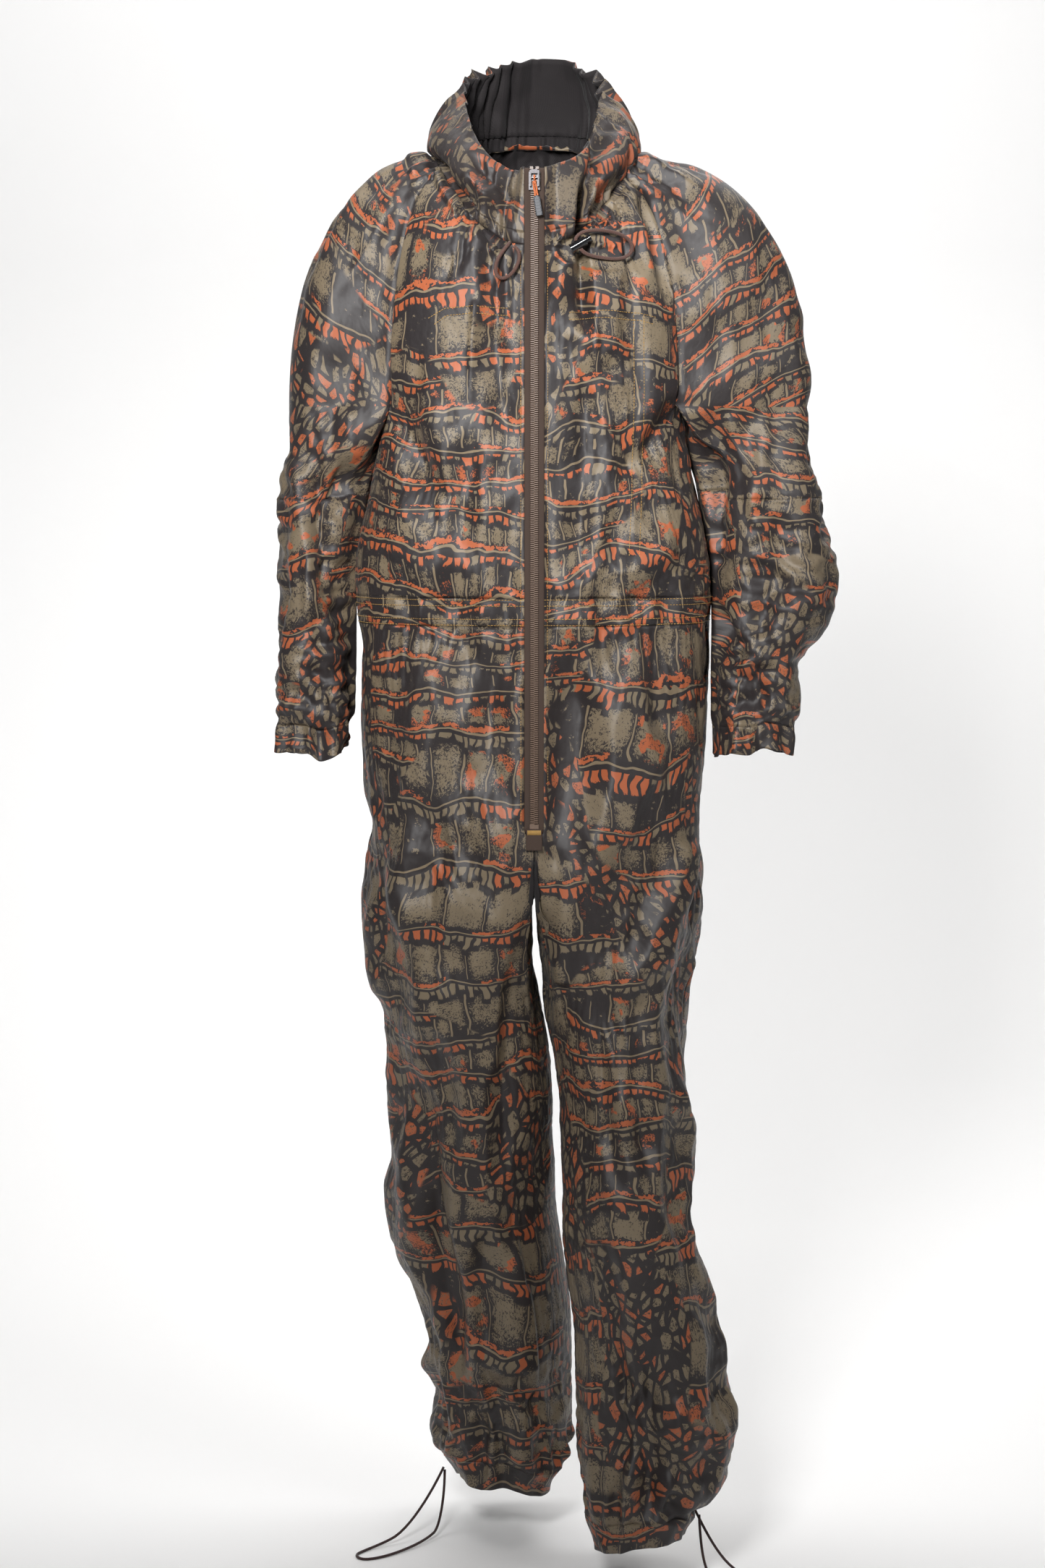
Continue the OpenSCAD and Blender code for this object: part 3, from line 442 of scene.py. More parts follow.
NECK_RIGHT = add_cord("neck_loop_right_cord", "neck_loop_right", [
    [(-24, -113.7, -92), (-28, -117.5, -98), (-38, -119, -108), (-38, -119, -118)],
    [(-38, -119, -118), (-38, -119, -130), (-27, -119, -130), (-20, -118.6, -120)],
    [(-20, -118.6, -120), (-13, -118, -110), (-13, -117.5, -101), (-20, -115.6, -96)]],
    0.0036, CORD)
NECK_LEFT = add_cord("neck_loop_left_cord", "neck_loop_left", [
    [(40.7, -119.5, -91.1), (39.2, -119.5, -88.5), (44, -118.5, -82.5), (54, -115, -81)],
    [(54, -115, -81), (64, -111.5, -79.5), (80, -104, -80), (90, -99.5, -86)],
    [(90, -99.5, -86), (97, -96.5, -90.2), (99, -96.5, -99), (92, -99.8, -104)],
    [(92, -99.8, -104), (84, -104.5, -109.5), (70, -110.5, -107.5), (60, -113.5, -106)],
    [(60, -113.5, -106), (52, -117, -104.8), (47.2, -119.5, -102.2), (45.3, -119.5, -98.95)]],
    0.0036, CORD)

# ---------------------------------------------------------------- the suit's surface, in millimetres
NECK_HALF, NECK_DROP, NECK_RISE, NECK_BACK = 97.0, 95.0, 20.0, 85.0
COLLAR_HALF, COLLAR_BACK, COLLAR_Z = 66.0, 62.0, (-19.0, 68.0, 108.0)
ARMPIT, CHEST_HALF, TAPE_HALF = -250.0, 158.0, 10.0
CROTCH_Z, CROTCH_DIP = -686.0, 62.0
LEAN = math.radians(2.95)
N_FRONT = N_ARM = N_BACK = 9
N_SIDE, N_CROTCH = 5, 7
N_HALF = N_FRONT + N_ARM + N_BACK
N_TRUNK = N_FRONT + N_SIDE + N_BACK
SIDE_COL = N_FRONT + 2
TRUNK_HALF = [(-686, 176), (-620, 178), (-560, 180), (-500, 181), (-468, 180), (-440, 182),
              (-412, 184), (-383, 180), (-340, 167), (-300, 162), (-275, 158), (-250, 158)]
TRUNK_BACK = [(-686, 110), (-600, 116), (-520, 112), (-454, 98), (-380, 106), (-250, 112)]
SLEEVE = {
    1: [(-572, 227.5, -37, 40, 40), (-545, 229, -36, 41.5, 44), (-508, 226, -32, 38, 50),
        (-470, 246, -26, 57, 56), (-420, 249, -18, 61, 60), (-360, 239, -10, 60, 62),
        (-300, 228, -4, 60, 62), (-250, 224, 0, 57, 62)],
    -1: [(-572, 225, -43, 37.5, 37.5), (-560, 226.5, -41, 39, 40), (-530, 227, -36, 39, 45),
         (-480, 224, -28, 35.5, 50), (-420, 225, -18, 37, 54), (-360, 220, -10, 41, 57),
         (-300, 211, -4, 44, 60), (-250, 207, 0, 40, 60)]}
LEG = {
    1: [(-1372, 112, -105, 57.5, 57.5), (-1350, 117.5, -102, 72, 70), (-1290, 122.5, -95, 80, 79),
        (-1200, 116.5, -80, 74, 82), (-1085, 96, -60, 69.5, 86), (-970, 92, -42, 65.5, 94),
        (-850, 85, -26, 72.5, 104), (-760, 91, -18, 87, 116), (-686, 92, -16, 88, 122)],
    -1: [(-1370, 28.5, 45, 66.5, 66.5), (-1345, 31, 44, 73, 72), (-1290, 36.5, 40, 79, 77),
         (-1200, 45, 32, 85, 82), (-1085, 63, 18, 86, 88), (-970, 62.5, 4, 85, 96),
         (-850, 74.5, -8, 84.5, 106), (-760, 89, -14, 86, 116), (-686, 90, -16, 88, 122)]}
REACH = {1: 281.0, -1: 246.0}
CUFF_FOOT, CUFF_TOP, HEM_HEIGHT = -600.0, -572.0, 28.0
WAIST_TOP, WAIST_FOOT, ELBOW = -440.0, -468.0, -343.0


def look(table, z, k=1):
    """Table lookup, rounded off over 15 mm each way."""
    zs = [row[0] for row in table]
    vs = [row[k] for row in table]
    reach = np.minimum(15.0, np.minimum(np.maximum(z - zs[0], 0), np.maximum(zs[-1] - z, 0)))
    return (np.interp(z - reach, zs, vs) + 2 * np.interp(z, zs, vs)
            + np.interp(z + reach, zs, vs)) / 4


def zip_y(z):
    return -108.0 + z * math.tan(LEAN)


FIRST = math.degrees(math.asin((TAPE_HALF / NECK_HALF) ** (1 / 0.9)))


def yoke_angle(j):
    return np.interp(j, [0, N_FRONT, N_FRONT + N_ARM, N_HALF], [FIRST, 65, 115, 180])


def neck(a):
    c = cosd(a)
    y = np.where(c > 0, zip_y(-NECK_DROP) * np.abs(c) ** 0.9, NECK_BACK * np.abs(c) ** 0.9)
    z = np.where(c > 0, -NECK_DROP * np.abs(c) ** 1.6, NECK_RISE * np.abs(c) ** 1.4)
    return np.stack([NECK_HALF * power(sind(a), 0.9), y, z], -1)


def trunk_point(a, z):
    c = np.abs(cosd(a)) ** 0.8
    y = np.where(cosd(a) > 0, zip_y(z) * c, look(TRUNK_BACK, z) * c)
    return np.stack([look(TRUNK_HALF, z) * power(sind(a), 0.8), y, z + 0 * a], -1)


SPLIT_F = trunk_point(np.array(62.0), np.array(ARMPIT))
SPLIT_B = trunk_point(np.array(118.0), np.array(ARMPIT))


def arm_point(c, reach):
    k = np.abs(cosd(c)) ** 0.8
    y = np.where(cosd(c) > 0, SPLIT_F[1] * k, SPLIT_B[1] * k)
    x = SPLIT_F[0] + (reach - SPLIT_F[0]) * np.abs(sind(c)) ** 0.75
    return np.stack([x, y, ARMPIT + 0 * x], -1)


def armpit_point(c):
    return np.stack([SPLIT_F[0] + (CHEST_HALF - SPLIT_F[0]) * sind(c),
                     mix(SPLIT_F[1], SPLIT_B[1], (1 - cosd(c)) / 2), ARMPIT + 15 * sind(c)], -1)


def low_point(j, reach):
    front = trunk_point(np.interp(j, [0, N_FRONT], [FIRST * 0.8, 62]), ARMPIT + 0 * j)
    arm = arm_point(np.clip(180 * (j - N_FRONT) / N_ARM, 0, 180), reach)
    back = trunk_point(np.interp(j, [N_FRONT + N_ARM, N_HALF], [118, 180]), ARMPIT + 0 * j)
    j = j[..., None]
    return np.where(j <= N_FRONT, front, np.where(j < N_FRONT + N_ARM, arm, back))


def to_zip(p, j, half):
    """Pull the first column onto the zip line, fading out by column 1."""
    first = p[:, :1]
    z = first[..., 2]
    aim = np.stack([half + 0 * z, zip_y(z), z], -1)
    p = p + (aim - first) * np.clip(1 - j, 0, 1)[..., None]
    p[..., 0] = np.where(j >= N_HALF - 1e-6, 0, p[..., 0])
    return p


def yoke(i, j, reach):
    a = yoke_angle(j)
    low = low_point(j, reach)
    top = neck(a)
    t = i / 12.0
    u, v = sind(90 * t), (1 - cosd(90 * t)) ** 1.15
    p = np.stack([mix(top[..., 0], low[..., 0], u), mix(top[..., 1], low[..., 1], u),
                  mix(top[..., 2], low[..., 2], v)], -1)
    return to_zip(p, j, TAPE_HALF)


def trunk_angle(j):
    return np.interp(j, [0, N_FRONT, N_FRONT + N_SIDE, N_TRUNK], [FIRST * 0.8, 62, 118, 180])


def trunk(z, j):
    a = trunk_angle(j)
    p = trunk_point(a, z)
    pit = armpit_point(np.clip(180 * (j - N_FRONT) / N_SIDE, 0, 180))
    low = trunk_point(a, -275.0 + 0 * z)
    t = np.clip((ARMPIT - z) / 25, 0, 1)[..., None]
    under = ((j > N_FRONT) & (j < N_FRONT + N_SIDE) & (z > -275))[..., None]
    p = np.where(under, mix(pit, low, t), p)
    half = np.interp(z[:, :1], [CROTCH_Z, -672], [0, TAPE_HALF])
    first = trunk_point(trunk_angle(0 * z[:, :1]), z[:, :1])
    aim = np.concatenate([half[..., None], zip_y(z[:, :1])[..., None], z[:, :1, None]], -1)
    p = p + (aim - first) * np.clip(1 - j, 0, 1)[..., None]
    p[..., 0] = np.where(j >= N_TRUNK - 1e-6, 0, p[..., 0])
    return p


def oval(table, z, e):
    return np.stack([look(table, z, 1) + look(table, z, 3) * sind(e),
                     look(table, z, 2) - look(table, z, 4) * cosd(e), z], -1)


def sleeve(t, j, side):
    under = arm_point(np.clip(180 * j / N_ARM, 0, 180), REACH[side])
    pit = armpit_point(np.clip(180 * (N_ARM + N_SIDE - j) / N_SIDE, 0, 180))
    top = np.where((j <= N_ARM)[..., None], under, pit)
    z = mix(top[..., 2], CUFF_TOP, t)
    s = np.clip((ARMPIT - z) / 70, 0, 1)[..., None]
    e = np.interp(j, [0, N_ARM, N_ARM + N_SIDE], [-40, 220, 320])
    p = mix(top, oval(SLEEVE[side], z, e), s)
    p[..., 2] = z
    return p


def leg(t, j, side):
    waist = trunk(CROTCH_Z + 0 * j, np.clip(j, 0, N_TRUNK))
    c = np.clip(180 * (j - N_TRUNK) / N_CROTCH, 0, 180)
    dip = np.stack([0 * c, mix(look(TRUNK_BACK, CROTCH_Z + 0 * c), zip_y(CROTCH_Z), (1 - cosd(c)) / 2),
                    CROTCH_Z - CROTCH_DIP * np.abs(sind(c)) ** 0.8], -1)
    top = np.where((j <= N_TRUNK)[..., None], waist, dip)
    z = mix(top[..., 2], LEG[side][0][0], t)
    e = np.interp(j, [0, N_TRUNK, N_TRUNK + N_CROTCH], [-50, 230, 310])
    s = ease(t / 0.3)[..., None]
    p = mix(top, oval(LEG[side], z, e), s)
    p[..., 2] = z
    return p


def collar(t, j, side):
    """From the top edge, t 0, down to the neckline, t 1."""
    a = yoke_angle(j)
    low = neck(a)
    s, c = sind(a), cosd(a)
    top_z = np.where(c > 0, COLLAR_Z[0] + (COLLAR_Z[1] - COLLAR_Z[0]) * np.abs(1 - c) ** 1.25,
                     COLLAR_Z[1] + (COLLAR_Z[2] - COLLAR_Z[1]) * np.abs(c) ** 0.8)
    k = np.abs(c) ** 0.9
    top_y = np.where(c > 0, zip_y(COLLAR_Z[0]) * k, COLLAR_BACK * k)
    up = 1 - t
    u = up ** 1.7
    bulge = 1 + 0.06 * np.sin(np.pi * up) * (1 - c * c)
    p = np.stack([mix(low[..., 0], COLLAR_HALF * power(s, 0.9), u) * bulge,
                  mix(low[..., 1], top_y, u) * bulge, mix(low[..., 2], top_z, up)], -1)
    return to_zip(p, j, TAPE_HALF)


# ---------------------------------------------------------------- one mesh of the whole suit
class Suit:
    """Every cloth panel as one welded mesh, so that folds run across its seams unbroken."""

    def __init__(self):
        self.keys = {}
        self.points = []
        self.info = []
        self.faces = []
        self.panel = []
        self.uv = []

    def index(self, p, info):
        key = (round(p[0] * 20), round(p[1] * 20), round(p[2] * 20))
        if key not in self.keys:
            self.keys[key] = len(self.points)
            self.points.append(p)
            self.info.append(info)
        return self.keys[key]

    def grid(self, p, uv, info, names, side, shift=(0.0, 0.0)):
        """Add a grid of points; names gives the panel of each cell, None for no cell."""
        rows, cols = p.shape[:2]
        p = p.copy()
        p[..., 0] *= side
        ids = [[self.index(p[r, c], (info[0], info[1][r, c], info[2][r, c], side))
                for c in range(cols)] for r in range(rows)]
        for r in range(rows - 1):
            for c in range(cols - 1):
                name = names(r, c)
                if name is None:
                    continue
                ring = [(r, c), (r, c + 1), (r + 1, c + 1), (r + 1, c)]
                if side > 0:
                    ring = ring[::-1]
                quad = [ids[a][b] for a, b in ring]
                if len(set(quad)) < 4:
                    continue
                self.faces.append(quad)
                self.panel.append(name)
                self.uv.append([(side * uv[a, b, 0] * MM + shift[0], uv[a, b, 1] * MM + shift[1])
                                for a, b in ring])


def run_lengths(p, start):
    """Distance along each row from column start, negative before it."""
    step = np.linalg.norm(np.diff(p, axis=1), axis=2)
    total = np.concatenate([np.zeros((len(p), 1)), np.cumsum(step, axis=1)], axis=1)
    return total - total[:, start:start + 1]


def span(points, per):
    """Even steps between the marks, so that every mark is a grid line."""
    out = [np.array([points[0]], dtype=float)]
    for a, b in zip(points[:-1], points[1:]):
        n = max(1, int(round(abs(b - a) * per)))
        out.append(a + (b - a) * np.arange(1, n + 1) / n)
    return np.concatenate(out)


SIDE_NAME = {1: "left", -1: "right"}
suit = Suit()
PER = 5  # fine columns to one CAD column


def table(i, j):
    return np.meshgrid(i, j, indexing="ij")


def build_side(side):
    tag = SIDE_NAME[side]
    # yoke, from the neckline to the armpit level
    i, j = table(span([0, 12], 5), span([0, N_FRONT, N_FRONT + N_ARM, N_HALF], PER))
    p = yoke(i, j, REACH[side])
    fc, ac = N_FRONT * PER, (N_FRONT + N_ARM) * PER
    drop = run_lengths(p.transpose(1, 0, 2), 0).transpose()
    across = run_lengths(p, 0) + TAPE_HALF
    arm_u, back_u = run_lengths(p, fc), run_lengths(p, -1) if False else run_lengths(p, p.shape[1] - 1)
    for lo, hi, u, v, name in ((0, fc, across, p[..., 2], "front_body_" + tag),
                               (fc, ac, arm_u, -drop, "sleeve_upper_" + tag),
                               (ac, p.shape[1] - 1, back_u, p[..., 2], "back_body")):
        cut = slice(lo, hi + 1)
        uv = np.stack([u[:, cut], v[:, cut]], -1)
        suit.grid(p[:, cut], uv, ("yoke", drop[:, cut], yoke_angle(j)[:, cut]),
                  lambda r, c, name=name: name, side, SHIFT[name])
    arm_drop = drop[-1, (fc + ac) // 2]
    # trunk
    z, j = table(span([ARMPIT, -275, WAIST_TOP, WAIST_FOOT, -672, CROTCH_Z], 1 / 6.5),
                 span([0, N_FRONT, SIDE_COL, N_FRONT + N_SIDE, N_TRUNK], PER))
    p = trunk(z, j)
    sc = SIDE_COL * PER
    half = np.interp(z, [CROTCH_Z, -672], [0, TAPE_HALF])
    across, back_u = run_lengths(p, 0) + half, run_lengths(p, p.shape[1] - 1)

    def trunk_name(r, c, front):
        mid = (z[r, 0] + z[r + 1, 0]) / 2
        if WAIST_FOOT < mid < WAIST_TOP:
            return "waist_casing_" + tag
        if front:
            return ("front_body_" if mid > WAIST_TOP else "leg_front_") + tag
        return "back_body" if mid > WAIST_TOP else "leg_back_" + tag
    for lo, hi, u, front in ((0, sc, across, True), (sc, p.shape[1] - 1, back_u, False)):
        cut = slice(lo, hi + 1)
        uv = np.stack([u[:, cut], p[:, cut, 2]], -1)
        shift = SHIFT["front_body_" + tag] if front else SHIFT["back_body"]
        suit.grid(p[:, cut], uv, ("trunk", p[:, cut, 2], u[:, cut]),
                  lambda r, c, front=front: trunk_name(r, c, front), side, shift)
    # sleeve and cuff
    t, j = table(span([0, (ARMPIT - ELBOW) / (ARMPIT - CUFF_TOP), 1], 54),
                 span([0, N_ARM, N_ARM + N_SIDE], PER))
    p = sleeve(t, j, side)
    elbow_row = int(round(54 * (ARMPIT - ELBOW) / (ARMPIT - CUFF_TOP)))
    e = np.interp(j[:1], [0, N_ARM, N_ARM + N_SIDE], [-40, 220, 320])
    rows = []
    for k in range(1, 7):
        zc = np.full_like(e, CUFF_TOP + (CUFF_FOOT - CUFF_TOP) * k / 6)
        rows.append(oval(SLEEVE[side], zc, e))
        rows[-1][..., 2] = zc
    p = np.concatenate([p] + rows, axis=0)
    u = run_lengths(p, 0)
    v = -arm_drop + (p[..., 2] - ARMPIT)
    ang = np.repeat(e, len(p), axis=0)
    suit.grid(p, np.stack([u, v], -1), ("sleeve", p[..., 2], ang),
              lambda r, c: "sleeve_upper_" + tag if r < elbow_row
              else "sleeve_lower_" + tag if r < len(t) - 1 else "cuff_casing_" + tag,
              side, SHIFT["sleeve_upper_" + tag])
    # leg and hem
    t, j = table(span([0, 1], 104), span([-3, 0, SIDE_COL, N_TRUNK, N_TRUNK + N_CROTCH - 3], PER))
    p = leg(t, np.mod(j, N_TRUNK + N_CROTCH), side)
    foot = LEG[side][0][0]
    e = np.interp(np.mod(j[:1], N_TRUNK + N_CROTCH), [0, N_TRUNK, N_TRUNK + N_CROTCH], [-50, 230, 310])
    rows = []
    for k in range(1, 7):
        zc = np.full_like(e, foot - HEM_HEIGHT * k / 6)
        rows.append(oval(LEG[side], zc, e))
        rows[-1][..., 2] = zc
    p = np.concatenate([p] + rows, axis=0)
    ang = np.repeat(e, len(p), axis=0)
    zero, sc = 3 * PER, (3 + SIDE_COL) * PER
    front_u, back_u = run_lengths(p, zero), run_lengths(p, (3 + N_TRUNK) * PER)
    for lo, hi, u, name in ((0, sc, front_u, "leg_front_"), (sc, p.shape[1] - 1, back_u, "leg_back_")):
        cut = slice(lo, hi + 1)
        uv = np.stack([u[:, cut], p[:, cut, 2]], -1)
        shift = SHIFT["front_body_" + tag] if name == "leg_front_" else SHIFT["back_body"]
        suit.grid(p[:, cut], uv, ("leg", p[:, cut, 2], ang[:, cut]),
                  lambda r, c, name=name: name + tag if r < len(t) - 1 else "hem_casing_" + tag,
                  side, shift)
    # collar
    t, j = table(span([0, 5 / 6, 1], 18), span([0, N_HALF], PER))
    p = collar(t, j, side)
    u = run_lengths(p, 0) + TAPE_HALF
    drop = -run_lengths(p.transpose(1, 0, 2), len(t) - 1).transpose()
    suit.grid(p, np.stack([u, p[..., 2]], -1), ("collar", drop, yoke_angle(j)),
              lambda r, c: "collar" if r < 15 else "neck_casing", side, SHIFT["collar"])


SHIFT = {"front_body_left": (0.013, 0.017), "front_body_right": (0.0, 0.0), "back_body": (3.1, 0.4),
         "sleeve_upper_left": (5.2, 1.3), "sleeve_upper_right": (7.4, 2.2), "collar": (9.3, 0.7)}
build_side(1)
build_side(-1)
P = np.array(suit.points)
print("suit points", len(P), "faces", len(suit.faces))


# ---------------------------------------------------------------- folds
def welded_normals(points):
    f = np.array(suit.faces)
    n = np.cross(points[f[:, 2]] - points[f[:, 0]], points[f[:, 3]] - points[f[:, 1]])
    out = np.zeros_like(points)
    for k in range(4):
        np.add.at(out, f[:, k], n)
    return out / np.maximum(np.linalg.norm(out, axis=1), 1e-9)[:, None]


def waves(x, seed, base, count=4):
    """A smooth irregular wave, about -1 to 1, with its main wavelength given by base."""
    rng = np.random.default_rng(seed)
    total = np.zeros_like(x, dtype=float)
    for k in range(count):
        f = base * (0.62 + 0.3 * k + 0.1 * rng.random())
        total += np.sin(2 * np.pi * f * x + rng.random() * 6.283) * (0.9 - 0.16 * k)
    return total / (0.55 * count)


def soft_noise(q, seed, size):
    """Smooth noise in space from a few slanted waves; size is about one fold across, in mm."""
    rng = np.random.default_rng(seed)
    total = np.zeros(len(q))
    for k in range(9):
        d = rng.normal(size=3)
        d /= np.linalg.norm(d)
        f = (0.6 + 0.9 * rng.random()) / size
        total += np.sin(2 * np.pi * f * (q @ d) + rng.random() * 6.283)
    return total / 3.6


def ridge(q, line, amount, width, soft=0.25):
    """A fold along a line in the front view, (x, z) in mm; it dies away at both ends."""
    line = np.array(line, dtype=float)
    best = np.full(len(q), 1e9)
    where = np.zeros(len(q))
    seg = np.diff(line, axis=0)
    size = np.linalg.norm(seg, axis=1)
    start = np.concatenate([[0], np.cumsum(size)])
    for k in range(len(seg)):
        rel = q[:, [0, 2]] - line[k]
        t = np.clip((rel @ seg[k]) / size[k] ** 2, 0, 1)
        d = np.linalg.norm(rel - t[:, None] * seg[k], axis=1)
        near = d < best
        best = np.where(near, d, best)
        where = np.where(near, start[k] + t * size[k], where)
    part = where / start[-1]
    fade = ease(part / soft) * ease((1 - part) / soft)
    return amount * np.exp(-(best / width) ** 2) * fade


# folds seen from the front: (points in x and z, height, half width); negative is a furrow
FRONT_FOLDS = [
    ([(44, -10), (45, -60), (46, -120), (52, -190)], -13, 7),
    ([(30, -12), (31, -70), (32, -150)], 6, 9),
    ([(60, -70), (62, -130), (70, -220)], 5, 13),
    ([(52, -200), (50, -300), (40, -430)], -6, 12),
    ([(-33, -110), (-34, -190), (-30, -300)], -5, 10),
    ([(-60, -100), (-75, -170), (-80, -260)], 5, 16),
    ([(100, -110), (118, -180), (128, -260)], 5, 14),
    ([(-110, -60), (-125, -150), (-130, -240)], 5, 15),
    ([(150, -240), (120, -290), (80, -330)], -6, 12),
    ([(-150, -240), (-120, -300), (-85, -350)], -6, 12),
    ([(-165, -330), (-120, -390), (-60, -425)], 6, 15),
    ([(165, -330), (130, -390), (70, -430)], 6, 15),
    ([(30, -480), (36, -560), (30, -640)], -6, 12),
    ([(-40, -480), (-46, -570), (-34, -650)], -5, 13),
    ([(90, -480), (100, -560), (90, -650)], 5, 18),
    ([(-100, -480), (-108, -570), (-100, -660)], 5, 18),
    ([(0, -676), (0, -720), (4, -800), (14, -900)], -9, 10),
    ([(14, -700), (44, -800), (64, -900), (84, -1010), (112, -1130), (160, -1250)], 11, 17),
    ([(30, -740), (58, -860), (74, -960), (100, -1080)], -10, 12),
    ([(150, -700), (120, -790), (70, -860)], 5, 14),
    ([(-14, -700), (-40, -790), (-56, -900), (-70, -1040), (-74, -1180)], 9, 18),
    ([(-30, -760), (-28, -900), (-30, -1050)], -5, 12),
    ([(-150, -700), (-120, -800), (-100, -920)], 5, 15),
    ([(-120, -940), (-105, -1080), (-88, -1200), (-80, -1300)], -9, 12),
    ([(-20, -1080), (-4, -1200), (8, -1320)], 6, 15),
    ([(60, -1120), (74, -1220), (84, -1330)], -6, 13),
    ([(150, -1150), (160, -1240), (150, -1330)], 6, 14),
    ([(100, -1230), (112, -1300), (110, -1368)], -6, 11),
]


ARM_FOLDS = [
    ([(190, -262), (180, -312), (173, -362), (180, -420)], -15, 13),
    ([(236, -300), (212, -370), (202, -440), (206, -480)], 8, 13),
    ([(190, -180), (176, -230), (158, -268)], 8, 11),
    ([(206, -215), (186, -262), (170, -300)], -10, 10),
    ([(222, -400), (232, -440), (222, -490)], -9, 10),
    ([(180, -455), (204, -492), (184, -512)], -11, 8),
    ([(258, -350), (250, -400), (252, -460)], -7, 12),
    ([(176, -110), (172, -160), (160, -220)], -8, 12),
    ([(200, -90), (214, -150), (212, -210)], 6, 16),
    ([(-236, -322), (-204, -346), (-176, -312)], -15, 10),
    ([(-222, -350), (-208, -401), (-212, -452)], -12, 9),
    ([(-240, -360), (-232, -420), (-238, -480)], 7, 10),
    ([(-184, -150), (-178, -195), (-190, -250)], -9, 12),
    ([(-206, -120), (-212, -180), (-224, -250)], 7, 15),
    ([(-196, -240), (-186, -280), (-196, -310)], 7, 11),
    ([(-190, -400), (-198, -450), (-186, -490)], -9, 9),
    ([(-226, -478), (-206, -490), (-184, -480)], -8, 7),
    ([(-236, -512), (-210, -520), (-182, -510)], -8, 7),
    ([(250, -508), (226, -524), (196, -520)], -9, 7),
    ([(244, -540), (220, -548), (196, -540)], -7, 7),
]
COLLAR_FOLDS = [
    ([(-98, 6), (-84, -34), (-60, -66)], -9, 8),
    ([(-80, 14), (-62, -24), (-34, -56)], 7, 8),
    ([(-66, -2), (-46, -34), (-16, -56)], -6, 6),
    ([(-92, 36), (-88, 10), (-76, -14)], 6, 8),
    ([(38, 12), (42, -28), (34, -64)], 7, 7),
    ([(60, 40), (62, 6), (50, -30), (40, -66)], -8, 7),
    ([(82, 30), (78, -10), (62, -44)], 7, 8),
    ([(76, -20), (64, -50), (54, -74)], -6, 7),
]


def crisp(w):
    """Turn a soft wave into folds with a rounded back and a sharper crease."""
    return 1.0 - 1.9 * np.abs(np.clip(w, -1.1, 1.1)) ** 0.75


